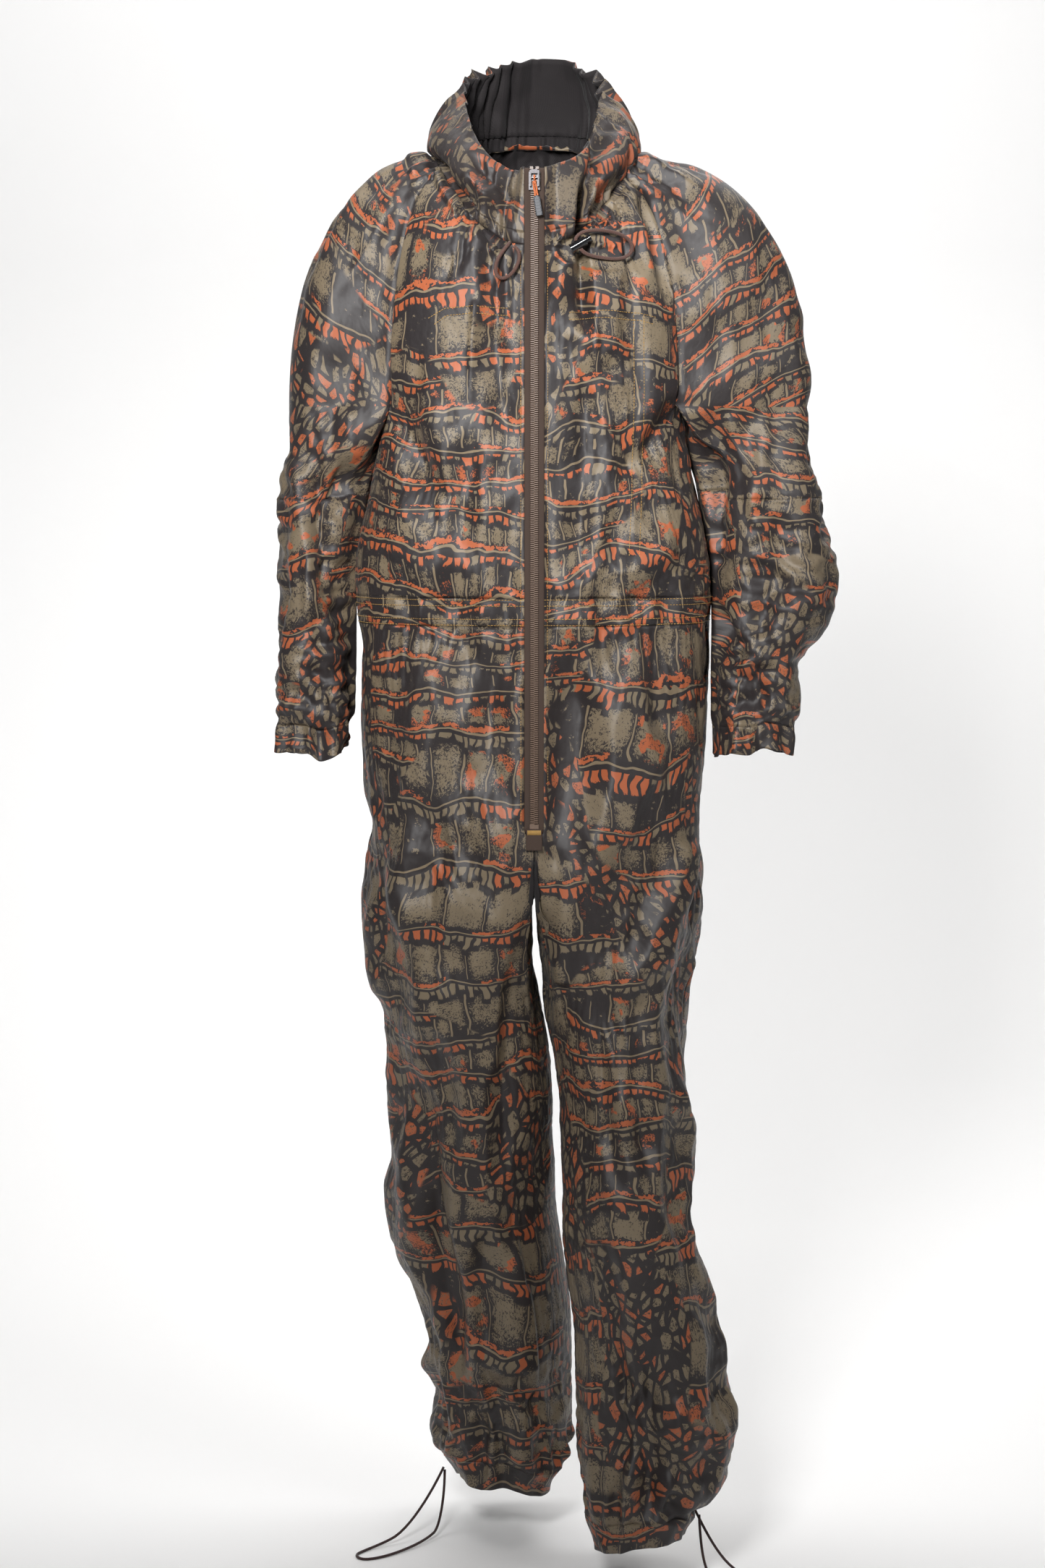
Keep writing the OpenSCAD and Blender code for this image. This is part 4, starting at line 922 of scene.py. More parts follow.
def fold_heights(q, n):
    kind = np.array([i[0] for i in suit.info])
    a = np.array([i[1] for i in suit.info], dtype=float)
    b = np.array([i[2] for i in suit.info], dtype=float)
    side = np.array([i[3] for i in suit.info], dtype=float)
    d = np.zeros(len(q))
    z = q[:, 2]
    turn = np.degrees(np.arctan2(q[:, 0], -q[:, 1])) / 360.0
    # gathers round the neckline: a is the distance from it
    near = (kind == "yoke") | (kind == "collar")
    away = np.where(near, a, 1e4)
    below = kind == "yoke"
    reach = np.where(below, 46.0, 15.0)
    gather = crisp(waves(turn, 11, 40.0)) * np.exp(-away / reach) * (1 - np.exp(-away / 5.0)) * 7.5
    long = crisp(waves(turn, 12, 17.0)) * np.exp(-away / 90.0) * (1 - np.exp(-away / 20.0)) * 13.0
    d += np.where(near, gather + np.where(below, long, long * 0.5), 0)
    lean = turn + 0.00022 * away * np.sign(q[:, 0])
    collar_folds = 4.6 * crisp(waves(lean, 17, 11.0)) + 3.2 * waves(lean, 18, 5.0)
    d += np.where(kind == "collar", collar_folds * ease(away / 34), 0)
    # puckers at the waist casing
    trunk_like = (kind == "trunk") | (kind == "leg")
    off = np.maximum(np.abs(z + 454) - 14, 0)
    waist = waves(turn, 21, 62.0) * np.exp(-off / 20) * 2.0 + waves(turn, 22, 24.0) * np.exp(-off / 60) * 3.6
    inside = np.abs(z + 454) < 14
    d += np.where(trunk_like, np.where(inside, 0.55 * waist + 1.2, waist * (1 - np.exp(-off / 7))), 0)
    # sleeves: b is the angle round the arm
    arm = kind == "sleeve"
    up = np.maximum(z - CUFF_TOP, 0)
    cuff = crisp(waves(b / 360, 31, 13.0)) * np.exp(-up / 34) * (1 - np.exp(-up / 6)) * 5.2
    ruche = waves(z / 1000, 33, 62.0) * np.exp(-(((b - 300 + 0) % 360 - 0) / 1e9) ** 2)
    seam = np.exp(-((((b + 60 + 180) % 360) - 180) / 42.0) ** 2) * ease((-z - 330) / 60) * ease((z + 585) / 30)
    d += np.where(arm, cuff + ruche * seam * 5.2, 0)
    swing = z / 1000 + 0.020 * np.sin(np.radians(b + 40)) + 0.012 * np.sin(np.radians(2 * b) + z / 60)
    rings = crisp(waves(swing, 35, 17.0)) * ease((-z - 250) / 110) * ease((z + 590) / 30)
    d += np.where(arm, rings * 6.5 * (0.55 + 0.45 * waves(b / 360 + z / 900, 36, 2.0)), 0)
    drape = crisp(waves(b / 360 + 0.35 * np.sin(z / 150), 37, 5.0)) * ease((-z - 60) / 90) * ease((z + 400) / 120)
    d += np.where(arm, drape * 4.5, 0)
    d += np.where(arm & (z < CUFF_TOP + 0.1), waves(b / 360, 31, 15.0) * 1.0, 0)
    # hems
    leg_ = kind == "leg"
    foot = np.where(side > 0, -1372.0, -1370.0)
    up = np.maximum(z - foot, 0)
    hem = crisp(waves(b / 360, 41, 9.0)) * np.exp(-up / 62) * (1 - np.exp(-up / 8)) * 9.0
    d += np.where(leg_, hem, 0)
    d += np.where(leg_ & (z < foot + 0.1), waves(b / 360, 41, 13.0) * 1.2, 0)
    # long folds seen from the front, and the same idea behind with other lines
    front = ease((-n[:, 1] + 0.15) / 0.4) * np.where(arm, 0, 1) * np.where(kind == "collar", 0.6, 1)
    for line, amount, width in FRONT_FOLDS:
        d += ridge(q, line, amount * 1.7, width) * front
    facing = ease((-n[:, 1] + 0.2) / 0.4)
    for line, amount, width in ARM_FOLDS:
        d += ridge(q, line, amount * 1.1, width) * facing * arm
    for line, amount, width in COLLAR_FOLDS:
        d += ridge(q, line, amount * 1.2, width) * facing * (kind == "collar")
    back = ease((n[:, 1] + 0.15) / 0.4) * np.where(arm, 0, 1)
    mirrored = q * np.array([-0.9, 1, 1.0]) + np.array([9.0, 0, -14.0])
    for line, amount, width in FRONT_FOLDS[4:]:
        d += ridge(mirrored, line, amount * 1.3, width * 1.1) * back
    # slack
    stretched = q * np.array([1.0, 1.0, 0.42])
    d += 4.2 * soft_noise(stretched, 51, 88.0) + 1.2 * soft_noise(q, 52, 34.0)
    crumple = crisp(soft_noise(q * np.array([1.0, 1.0, 0.7]), 56, 54.0))
    d += 1.9 * crumple * np.where(arm, 1.5, 1.0) * np.where(kind == "collar", 0.5, 1.0)
    slender = q * np.array([1.0, 1.0, 0.30])
    veins = crisp(soft_noise(slender, 53, 105.0) + 0.35 * soft_noise(q, 54, 60.0))
    d += np.where(trunk_like, 3.4 * veins * ease((-z - 470) / 90), 0) + np.where(kind == "trunk", 2.2 * veins, 0)
    bunch = q * np.array([0.55, 0.55, 1.0])
    low = ease((-z - 1150) / 130) * ease((z + 1385) / 25)
    d += np.where(leg_, 6.0 * crisp(soft_noise(bunch, 55, 66.0)) * low, 0)
    # quiet where cloth is sewn down: zip edges, crotch, armpits
    calm = np.ones(len(q))
    front_edge = (np.abs(q[:, 0]) < 30) & (q[:, 1] < -60) & (z > -690) & (kind != "sleeve")
    calm = np.where(front_edge, ease((np.abs(q[:, 0]) - TAPE_HALF) / 11), calm)
    calm *= np.where((np.abs(q[:, 0]) < 14) & (z < -680) & (z > -760), 0.25, 1)
    pit = np.linalg.norm((np.abs(q) - np.array([152, 0, 240])) * np.array([1, 0.4, 1]), axis=1)
    calm *= 0.35 + 0.65 * ease(pit / 45)
    # the legs touch above the knee, so they bulge less toward each other
    inner = leg_ & (np.abs(n[:, 0]) > 0.5) & (np.sign(n[:, 0]) != np.sign(side)) & (z > -1345)
    d = np.where(inner, np.minimum(d, 0.4) * 0.4, d)
    # sleeves stay clear of the trunk
    toward = (arm & (n[:, 0] * side < -0.35)) | ((kind == "trunk") & (np.abs(n[:, 0]) > 0.6))
    d = np.where(toward, np.minimum(d, 1.0), d)
    behind = arm & (n[:, 0] * side < -0.2) & (q[:, 1] > -30) & (z < -262)
    d = np.where(behind, 6.5 * ease((-z - 262) / 40), d)
    return np.clip(d * calm, -18, 11)


N = welded_normals(P)
KIND = np.array([i[0] for i in suit.info])
ROUND = np.array([i[2] for i in suit.info], dtype=float)
SIDE = np.array([i[3] for i in suit.info], dtype=float)


def held_down():
    """How firmly each point is held: 1 is sewn or gathered, lower lets the cloth buckle."""
    x, y, z = P.T
    hold = np.full(len(P), GRIP_LOW)
    tube = (KIND == "trunk") | (KIND == "leg") | (KIND == "yoke")
    zip_side = tube & (np.abs(x) < 14) & (y < -60) & (z > -692)
    waist = (KIND == "trunk") & (np.abs(z + 454) < 14.5)
    cuff = (KIND == "sleeve") & (z < CUFF_TOP + 0.5)
    hem = (KIND == "leg") & (z < -1369.5)
    neckline = (KIND == "collar") | ((KIND == "yoke") & (np.array([i[1] for i in suit.info]) < 4))
    hold[zip_side | waist | cuff | hem | neckline] = 1.0
    for cord in (NECK_LEFT, NECK_RIGHT, LOCK_LINE):
        for p in cord[::4] / MM:
            hold[(np.linalg.norm(P - p, axis=1) < 15) & (KIND == "yoke")] = 1.0
    return hold


GRIP_LOW = 0.30
LOCK_LINE = np.array([[35.6, -119.5, -99.2], [43, -119.5, -95], [50, -119.5, -91], [54.5, -119.5, -88.4]]) * MM
CAD_P = P.copy()
D = fold_heights(P, N)
keep_flat = held_down() >= 1
for cord in (NECK_LEFT, NECK_RIGHT, LOCK_LINE):
    for p in cord[::4] / MM:
        near = (np.linalg.norm(P - p, axis=1) < 13) & (KIND == "yoke")
        D[near] = np.minimum(D[near], -0.3)
P = P + N * D[:, None]


def opposite(edges):
    """Pairs of points on either side of a point, one for each point with just two neighbours."""
    both = np.concatenate([edges, edges[:, ::-1]])
    both = both[np.argsort(both[:, 0], kind="stable")]
    own, start, count = np.unique(both[:, 0], return_index=True, return_counts=True)
    start = start[count == 2]
    return np.stack([both[start, 1], both[start + 1, 1]], 1)


def slack(q):
    """How much longer the cloth is than the body under it, round it and down it."""
    z = q[:, 2]
    arm, leg_, yoke_ = KIND == "sleeve", KIND == "leg", KIND == "yoke"
    away = np.array([i[1] for i in suit.info])
    wide = np.where(arm, 0.07, np.where(leg_, 0.085, 0.065))
    wide = np.where(yoke_, 0.03 + 0.13 * np.exp(-away / 60), wide)
    wide += np.where(leg_, 0.06 * np.exp(-np.maximum(z + 1369, 0) / 60), 0)
    wide += np.where(arm, 0.07 * np.exp(-np.maximum(z + 572, 0) / 40), 0)
    wide += np.where(KIND == "trunk", 0.07 * np.exp(-np.abs(z + 454) / 45), 0)
    long = np.where(arm, 0.05 + 0.13 * ease((-z - 320) / 90), np.where(leg_, 0.03, 0.02))
    long += np.where(leg_, 0.09 * ease((-z - 1230) / 80), 0)
    long += np.where(KIND == "trunk", 0.05 * ease((-z - 350) / 60) * (z > -454), 0)
    patchy = 1 + 0.45 * soft_noise(q, 71, 210.0)
    return wide * patchy, long * patchy


def settle(rounds):
    """Let the cloth buckle where it is longer than the body, held by its seams and gathers."""
    quads = np.array(suit.faces)
    around = np.unique(np.sort(np.concatenate([quads[:, [0, 1]], quads[:, [2, 3]]]), axis=1), axis=0)
    down = np.unique(np.sort(np.concatenate([quads[:, [1, 2]], quads[:, [3, 0]]]), axis=1), axis=0)
    slant = np.concatenate([quads[:, [0, 2]], quads[:, [1, 3]]])
    near = np.concatenate([opposite(around), opposite(down)])
    wider = np.concatenate([opposite(opposite(around)), opposite(opposite(down))])
    wide, long = slack(CAD_P)

    def size(pairs, extra):
        return (np.linalg.norm(CAD_P[pairs[:, 0]] - CAD_P[pairs[:, 1]], axis=1)
                * (1 + extra[pairs].mean(1)))
    zero = 0 * wide
    both = np.concatenate([around, down, slant, near, wider])
    length = np.concatenate([size(around, wide), size(down, long), size(slant, (wide + long) / 2),
                             size(near, zero) * 0.985, size(wider, zero) * 0.955])
    push = np.concatenate([np.full(len(around) + len(down), 0.42), np.full(len(slant), 0.10),
                           np.full(len(near), 0.30), np.full(len(wider), 0.22)])
    only_push = np.arange(len(both)) >= len(around) + len(down) + len(slant)
    a, b = both[:, 0], both[:, 1]
    n = len(P)
    share = np.bincount(np.concatenate([a, b]), np.concatenate([push, push]), n)
    share = 1.0 / np.maximum(share, 0.6)
    pinned = held_down() >= 1
    normal = welded_normals(CAD_P)
    ring_a = np.concatenate([around[:, 0], around[:, 1], down[:, 0], down[:, 1]])
    ring_b = np.concatenate([around[:, 1], around[:, 0], down[:, 1], down[:, 0]])
    ring_n = np.bincount(ring_a, minlength=n) + 1.0
    calm_level = np.sum((P - CAD_P) * normal, 1)
    for _ in range(24):
        calm_level = (np.bincount(ring_a, calm_level[ring_b], n) + calm_level) / ring_n
    q, speed = P.copy(), np.zeros_like(P)
    for k in range(rounds):
        gap = q[b] - q[a]
        dist = np.maximum(np.linalg.norm(gap, axis=1), 1e-6)
        pull = (dist - length) / dist * push * 0.5
        pull[only_push] = np.minimum(pull[only_push], 0)
        gap *= pull[:, None]
        move = np.empty_like(q)
        for axis in range(3):
            move[:, axis] = (np.bincount(a, gap[:, axis], n) - np.bincount(b, gap[:, axis], n)) * share
        off = q - CAD_P
        out = np.sum(off * normal, 1)[:, None] * normal
        move -= 0.004 * out + 0.02 * (off - out)
        if k % 10 == 9:
            puff = np.sum(off * normal, 1)
            for _ in range(24):
                puff = (np.bincount(ring_a, puff[ring_b], n) + puff) / ring_n
            move -= 0.5 * normal * (puff - calm_level)[:, None]
        speed = 0.82 * speed + move
        speed[pinned] = 0
        q = q + speed
    return q


P = settle(260)
N0 = welded_normals(CAD_P)
shift = P - CAD_P + N0 * (0.72 * D)[:, None]
out = np.sum(shift * N0, 1)
leg_inner = ((KIND == "leg") & (N0[:, 0] * SIDE < -0.5) & (CAD_P[:, 2] > -1345))
arm_side = (((KIND == "sleeve") & (N0[:, 0] * SIDE < -0.35))
            | ((KIND == "trunk") & (np.abs(N0[:, 0]) > 0.6)))
shoulder = ((KIND == "sleeve") | (KIND == "yoke")) & (N0[:, 0] * SIDE > 0.2)
filled = (KIND == "sleeve") & (N0[:, 0] * SIDE < -0.2) & (CAD_P[:, 1] > -30)
limit = np.where(leg_inner, 0.6, np.where(filled, 6.5, np.where(arm_side, 2.5, np.where(shoulder, 5.0, 11.0))))
for cord in (NECK_LEFT, NECK_RIGHT, LOCK_LINE):
    for p in cord[::4] / MM:
        limit[(np.linalg.norm(CAD_P - p, axis=1) < 13) & (KIND == "yoke")] = -0.3
shift -= N0 * np.maximum(out - limit, 0)[:, None]
far = np.linalg.norm(shift, axis=1)
P = CAD_P + shift * (np.minimum(far, 19.0) / np.maximum(far, 1e-6))[:, None]


def shape_ends(points):
    """Uneven, drawn-in edges at the hems and cuffs, fading out above them."""
    x, y, z = points.T.copy()
    for s in (1, -1):
        foot = (KIND == "leg") & (SIDE == s)
        t = ease((-CAD_P[:, 2] - 1325) / 60) * foot
        e = np.radians(ROUND)
        near_left = -s * np.sin(e)  # the side of the hem toward the viewer's left, -1 to 1
        if s > 0:
            z = z + t * (-9 * near_left - 3 + 4 * np.sin(3 * e + 1))
            pinch = 0.10
        else:
            z = z + t * (4 * np.sin(2 * e) + 3 * np.sin(5 * e + 2))
            pinch = 0.20
        low = ease((-CAD_P[:, 2] - 1362) / 36) * foot
        cx, cy = s * LEG[s][0][1], LEG[s][0][2]
        x, y = x + (cx - x) * pinch * low, y + (cy - y) * pinch * 0.6 * low
        arm = (KIND == "sleeve") & (SIDE == s)
        t = ease((-CAD_P[:, 2] - 555) / 30) * arm
        z = z + t * (4.0 * np.sin(2 * e + s) + 2.4 * np.sin(5 * e) + 1.5 * np.sin(9 * e + 1))
        cx, cy = s * SLEEVE[s][0][1], SLEEVE[s][0][2]
        frill = 0.06 * np.sin(7 * e) + 0.05 * np.sin(11 * e + 2) - 0.05
        low = ease((-CAD_P[:, 2] - 560) / 20) * arm
        x, y = x + (x - cx) * frill * low, y + (y - cy) * frill * low
    return np.stack([x, y, z], 1)


P = shape_ends(P)
N = welded_normals(P)

# ---------------------------------------------------------------- panels as separate pieces
PANEL_MATERIAL = {"front_body": PRINT_BODY, "back_body": PRINT_BODY, "leg": PRINT_LEG,
                  "sleeve": PRINT_ARM, "cuff": PRINT_ARM, "hem": PRINT_LEG, "waist": PRINT_BODY,
                  "collar": PRINT_COLLAR, "neck": PRINT_COLLAR}
faces_np = np.array(suit.faces)
uv_np = np.array(suit.uv)
panel_np = np.array(suit.panel)


def area_of(ids):
    f = faces_np[ids]
    d1, d2 = P[f[:, 2]] - P[f[:, 0]], P[f[:, 3]] - P[f[:, 1]]
    return float(np.sum(np.linalg.norm(np.cross(d1, d2), axis=1)) / 2) * 1e-6


def flat_size(ids):
    """The width and length of a panel laid flat, from its UVs, which are in metres of cloth."""
    flat = uv_np[ids].reshape(-1, 2)
    size = flat.max(0) - flat.min(0)
    return round(float(size[0]), 3), round(float(size[1]), 3)


def cloth_piece(name, ids, material, thickness=0.0006, offset=0.0, levels=1, inside=None):
    used, inverse = np.unique(faces_np[ids].ravel(), return_inverse=True)
    verts = (P[used] - N[used] * offset) * MM
    piece = mesh_object(name, verts, inverse.reshape(-1, 4), uv_np[ids].reshape(-1, 2))
    piece.data.materials.append(material)
    piece.data.materials.append(inside or INSIDE)
    if levels:
        sub = piece.modifiers.new("smooth", "SUBSURF")
        sub.levels = sub.render_levels = levels
        sub.boundary_smooth = "PRESERVE_CORNERS"
    solid = piece.modifiers.new("thick", "SOLIDIFY")
    solid.thickness = thickness
    solid.offset = -1.0
    solid.material_offset = 1
    solid.material_offset_rim = 0
    return piece


def dress(piece, nodes, ids):
    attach(piece, "suit")
    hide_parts(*nodes)
    area, (wide, long) = area_of(ids), flat_size(ids)
    known = [size for key, size in FLAT_LENGTH.items() if nodes[0].startswith(key)]
    if known:
        wide, long = round(1.03 * area / known[0], 3), known[0]
    if not 0.35 * wide * long < area < 0.98 * wide * long:
        wide = round(1.03 * area / long, 3)  # gathered cloth is wider laid flat


FLAT_LENGTH = {"collar": 0.13, "neck_casing": 0.022, "waist_casing": 0.028, "waist_elastic": 0.028,
               "cuff_casing": 0.028, "cuff_elastic": 0.019, "hem_casing": 0.028}
for name in sorted(set(suit.panel)):
    key = next(k for k in PANEL_MATERIAL if name.startswith(k))
    ids = np.flatnonzero(panel_np == name)
    piece = cloth_piece(name + "_cloth", ids, PANEL_MATERIAL[key])
    dress(piece, [name], ids)


def lining(name, node, select, offset, material, thickness=0.0006):
    """An inner layer that follows the cloth over the cells that select picks."""
    ids = np.flatnonzero(select)
    piece = cloth_piece(name, ids, material, thickness, offset, levels=0, inside=material)
    dress(piece, [node], ids)


centre = P[faces_np].mean(1)
for side, tag in SIDE_NAME.items():
    own = centre[:, 0] * side > 0
    lining("waist_elastic_" + tag + "_knit", "waist_elastic_" + tag,
           (panel_np == "waist_casing_" + tag) & (np.abs(centre[:, 0]) > 14), 1.6, ELASTIC,
           0.0009)
    cuff_z = centre[:, 2]
    lining("cuff_elastic_" + tag + "_knit", "cuff_elastic_" + tag,
           (panel_np == "cuff_casing_" + tag) & (cuff_z < -577) & (cuff_z > -595), 1.6, ELASTIC,
           0.0009)
    lining("chest_pocket_" + tag + "_bag", "chest_pocket_" + tag,
           (panel_np == "front_body_" + tag) & (np.abs(centre[:, 0]) > 34) & (centre[:, 2] < -170)
           & (centre[:, 2] > -352) & (np.abs(centre[:, 0]) < 128), 1.6, INSIDE)
lining("collar_lining_cloth", "collar_lining", panel_np == "collar", 1.6, INSIDE)


# ---------------------------------------------------------------- zip, in the zip's own frame
def at_zip(points):
    """From the zip's frame (x, out of the front, up along the zip), in mm, to metres."""
    q = np.asarray(points, dtype=float)
    c, s = math.cos(-LEAN), math.sin(-LEAN)
    return np.stack([q[..., 0], q[..., 1] * c - q[..., 2] * s - 108.0,
                     q[..., 1] * s + q[..., 2] * c], -1) * MM


def zip_tape(side):
    tag = SIDE_NAME[side]
    zs = np.arange(-672.0, -17.9, 4.0)
    xs = np.array([0.6, 3.0, 6.0, 9.0, 10.6])
    verts, faces, uvs = [], [], []
    for z in zs:
        for x in xs:
            dip = 0.25 + (0.9 if x > 10 else 0.0)
            verts.append(at_zip((side * x, dip, z)))
    n = len(xs)
    for r in range(len(zs) - 1):
        for c in range(n - 1):
            ring = [(r, c), (r, c + 1), (r + 1, c + 1), (r + 1, c)]
            if side < 0:
                ring = ring[::-1]
            faces.append([a * n + b for a, b in ring])
            uvs += [(xs[b] * MM, zs[a] * MM) for a, b in ring]
    piece = mesh_object("zip_tape_" + tag + "_woven", verts, faces, uvs)
    piece.data.materials.append(TAPE)
    solid = piece.modifiers.new("thick", "SOLIDIFY")
    solid.thickness = 0.0007
    solid.offset = -1.0
    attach(piece, "suit")
    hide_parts("zip_tape_" + tag)


def rounded_box(lo, hi, r):
    """Corners of a box with its edges cut off: 24 points and 26 faces, by convex order."""
    lo, hi = np.array(lo, dtype=float), np.array(hi, dtype=float)
    mid, half = (lo + hi) / 2, (hi - lo) / 2
    pts = []
    for axis in range(3):
        for sx in (-1, 1):
            for sy in (-1, 1):
                for sz in (-1, 1):
                    s = np.array([sx, sy, sz], dtype=float)
                    p = s * (half - r)
                    p[axis] = s[axis] * half[axis]
                    pts.append(mid + p)
    return pts


def hull_object(name, groups, place):
    """Many small convex solids, given by their points, as one mesh."""
    import bmesh
    shape = None
    bm = bmesh.new()
    for points in groups:
        if shape is None:
            one = bmesh.new()
            for p in points:
                one.verts.new(p)
            bmesh.ops.convex_hull(one, input=one.verts)
            one.verts.index_update()
            shape = [[v.index for v in f.verts] for f in one.faces]
            one.free()
        new = [bm.verts.new(p) for p in place(np.array(points))]
        for f in shape:
            bm.faces.new([new[k] for k in f])
    mesh = bpy.data.meshes.new(name)
    bm.to_mesh(mesh)
    bm.free()
    return link(bpy.data.objects.new(name, mesh))


def zip_chain(side):
    """One half of the coil: a rounded tooth every 2.1 mm, reaching just past the middle."""
    tag = SIDE_NAME[side]
    teeth = []
    pitch = 2.1
    count = int((664 - 22 - 0.5) / pitch)
    for k in range(count):
        z = -663.5 + pitch * (k + (0.5 if side > 0 else 0.0))
        if z > -22.6:
            break
        reach = -0.35
        lo, hi = (reach, -1.7, z - 0.72), (3.9, -0.15, z + 0.72)
        if side < 0:
            lo, hi = (-3.9, -1.7, z - 0.72), (-reach, -0.15, z + 0.72)
        teeth.append(rounded_box(lo, hi, 0.42))
    piece = hull_object("zip_chain_" + tag + "_coil", teeth, at_zip)
    piece.data.materials.append(COIL)
    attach(piece, "suit")
    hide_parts("zip_chain_" + tag)


for side in (1, -1):
    zip_tape(side)
    zip_chain(side)


# ---------------------------------------------------------------- topstitching
def surface_line(points, lift=0.25):
    """Nearest suit surface under a line of (x, z) points on the front, as points in mm."""
    out = []
    front = np.flatnonzero((N[:, 1] < 0.35))
    tree = P[front]
    for x, z in points:
        d = (tree[:, 0] - x) ** 2 + (tree[:, 2] - z) ** 2
        near = np.argpartition(d, 12)[:12]
        ys = tree[near, 1]
        keep = near[ys < ys.min() + 18]
        w = 1 / (d[keep] + 1.0)
        y = np.sum(tree[keep, 1] * w) / np.sum(w)
        n = (N[front[keep]] * w[:, None]).sum(0)
        n /= np.linalg.norm(n)
        out.append(np.array([x, y, z]) + n * lift)
    return np.array(out)


def stitches(name, lines, pitch=3.2, length=2.3, radius=0.32):
    """Short thread stitches along lines of points on the cloth, in mm."""
    verts, faces, uvs = [], [], []
    for line in lines:
        run = np.concatenate([[0], np.cumsum(np.linalg.norm(np.diff(line, axis=0), axis=1))])
        for k in range(int(run[-1] / pitch)):
            ends = [k * pitch, k * pitch + length]
            a, b = (np.array([np.interp(e, run, line[:, c]) for c in range(3)]) for e in ends)
            d = (b - a) / max(np.linalg.norm(b - a), 1e-6)
            s = np.cross(d, (0.0, -1.0, 0.02))
            s /= max(np.linalg.norm(s), 1e-6)
            up = np.cross(s, d)
            base = len(verts)
            for e, r in ((a, 0.5), (a + d * 0.5, 1.0), (b - d * 0.5, 1.0), (b, 0.5)):
                for q in range(6):
                    t = math.pi * q / 3
                    verts.append((e + radius * r * (s * math.cos(t) + up * 0.8 * math.sin(t))) * MM)
            for seg in range(3):
                for q in range(6):
                    q2 = (q + 1) % 6
                    faces.append((base + seg * 6 + q, base + seg * 6 + q2,
                                  base + seg * 6 + 6 + q2, base + seg * 6 + 6 + q))
                    uvs += [(0, 0), (0.0003, 0), (0.0003, 0.0008), (0, 0.0008)]
            faces.append(tuple(base + q for q in range(5, -1, -1)))
            faces.append(tuple(base + 18 + q for q in range(6)))
            uvs += [(0, 0)] * 12
    piece = mesh_object(name, verts, faces, uvs)
    piece.data.materials.append(THREAD)
    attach(piece, "suit")
    return piece


def row_line(z, kind, lift=0.35):
    """All round the trunk at height z, on the folded cloth, one line for each side."""
    lines = []
    kinds = np.array([i[0] for i in suit.info])
    for side in (1, -1):
        level = np.unique(np.round([i[1] for i in suit.info if i[0] == kind], 2))
        zs = level[np.argsort(np.abs(level - z))[:1]]
        pick = np.array([k for k, i in enumerate(suit.info)
                         if i[0] == kind and i[3] == side and abs(i[1] - zs[0]) < 0.05])
        ang = np.arctan2(P[pick, 0] * side, -P[pick, 1])
        pick = pick[np.argsort(ang)]
        line = P[pick] + N[pick] * lift
        line[:, 2] += z - zs[0]
        lines.append(line)
    return lines


waist_lines = []
for z in (-441.5, -447.5, -460.5, -466.5):
    waist_lines += row_line(z, "trunk")
stitches("waist_stitches", waist_lines)


def arc(points, n=40):
    pts = np.array(points, dtype=float)
    t = np.linspace(0, len(pts) - 1, n)
    return np.stack([np.interp(t, range(len(pts)), pts[:, k]) for k in (0, 1)], -1)


chest = [[(-26, -156), (-60, -154), (-88, -156), (-106, -166)],
         [(-26, -163), (-60, -161), (-86, -163), (-101, -173)],
         [(34, -160), (70, -158), (104, -160), (122, -164)],
         [(34, -167), (70, -165), (104, -167), (120, -171)],
         [(98, -162), (99, -240), (97, -330), (94, -400)],
         [(108, -162), (109, -240), (107, -330), (104, -400)]]
stitches("chest_stitches", [surface_line(arc(c), 0.4) for c in chest])
edge_lines = []
for side in (1, -1):
    zs = np.linspace(-100, -664, 150)
    edge_lines.append(surface_line([(side * 13.2, z) for z in zs], 0.4))
stitches("zip_edge_stitches", edge_lines, pitch=2.8, length=2.0, radius=0.26)

# ---------------------------------------------------------------- pull cord and end tab
def at_pin(points):
    """From the slider pin's frame, in mm, to metres."""
    return at_zip(np.asarray(points, dtype=float) + np.array([0, -6.5, -30.5]))


def pull_cord():
    lean = math.radians(-9)
    turn = np.linspace(0, 2 * math.pi, 41)
    loop = np.stack([0 * turn, 1.95 * np.sin(turn), 1.95 * np.cos(turn)], 1)
    wind = np.linspace(0, 5 * math.pi, 70)
    knot = np.stack([1.25 * np.cos(wind), 1.25 * np.sin(wind), -3.3 - 3.2 * wind / wind[-1]], 1)
    parts = [tube("pull_cord_braid", at_pin(loop), 0.98 * MM, 12), tube("knot", at_pin(knot), 0.92 * MM, 10)]
    for s in (1, -1):
        down = np.linspace(0, -14.0, 24)
        x, y = s * (1.1 + 0.12 * np.sin(down * 0.9)), 0.25 * s * np.sin(down * 0.5)
        strand = np.stack([x * math.cos(lean) + down * math.sin(lean), y,
                           -x * math.sin(lean) + down * math.cos(lean) - 5.0], 1)
        parts.append(tube("strand", at_pin(strand), 0.97 * MM, 10))
    whole = joined(parts)
    whole.data.materials.append(ORANGE)
    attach(whole, "zip_pull")
    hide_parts("pull_cord")


def joined(parts):
    """One mesh from several tubes, under the first one's name."""
    import bmesh
    bm = bmesh.new()
    for part in parts:
        bm.from_mesh(part.data)
    bm.to_mesh(parts[0].data)
    bm.free()
    for part in parts[1:]:
        bpy.data.objects.remove(part)
    return parts[0]


pull_cord()


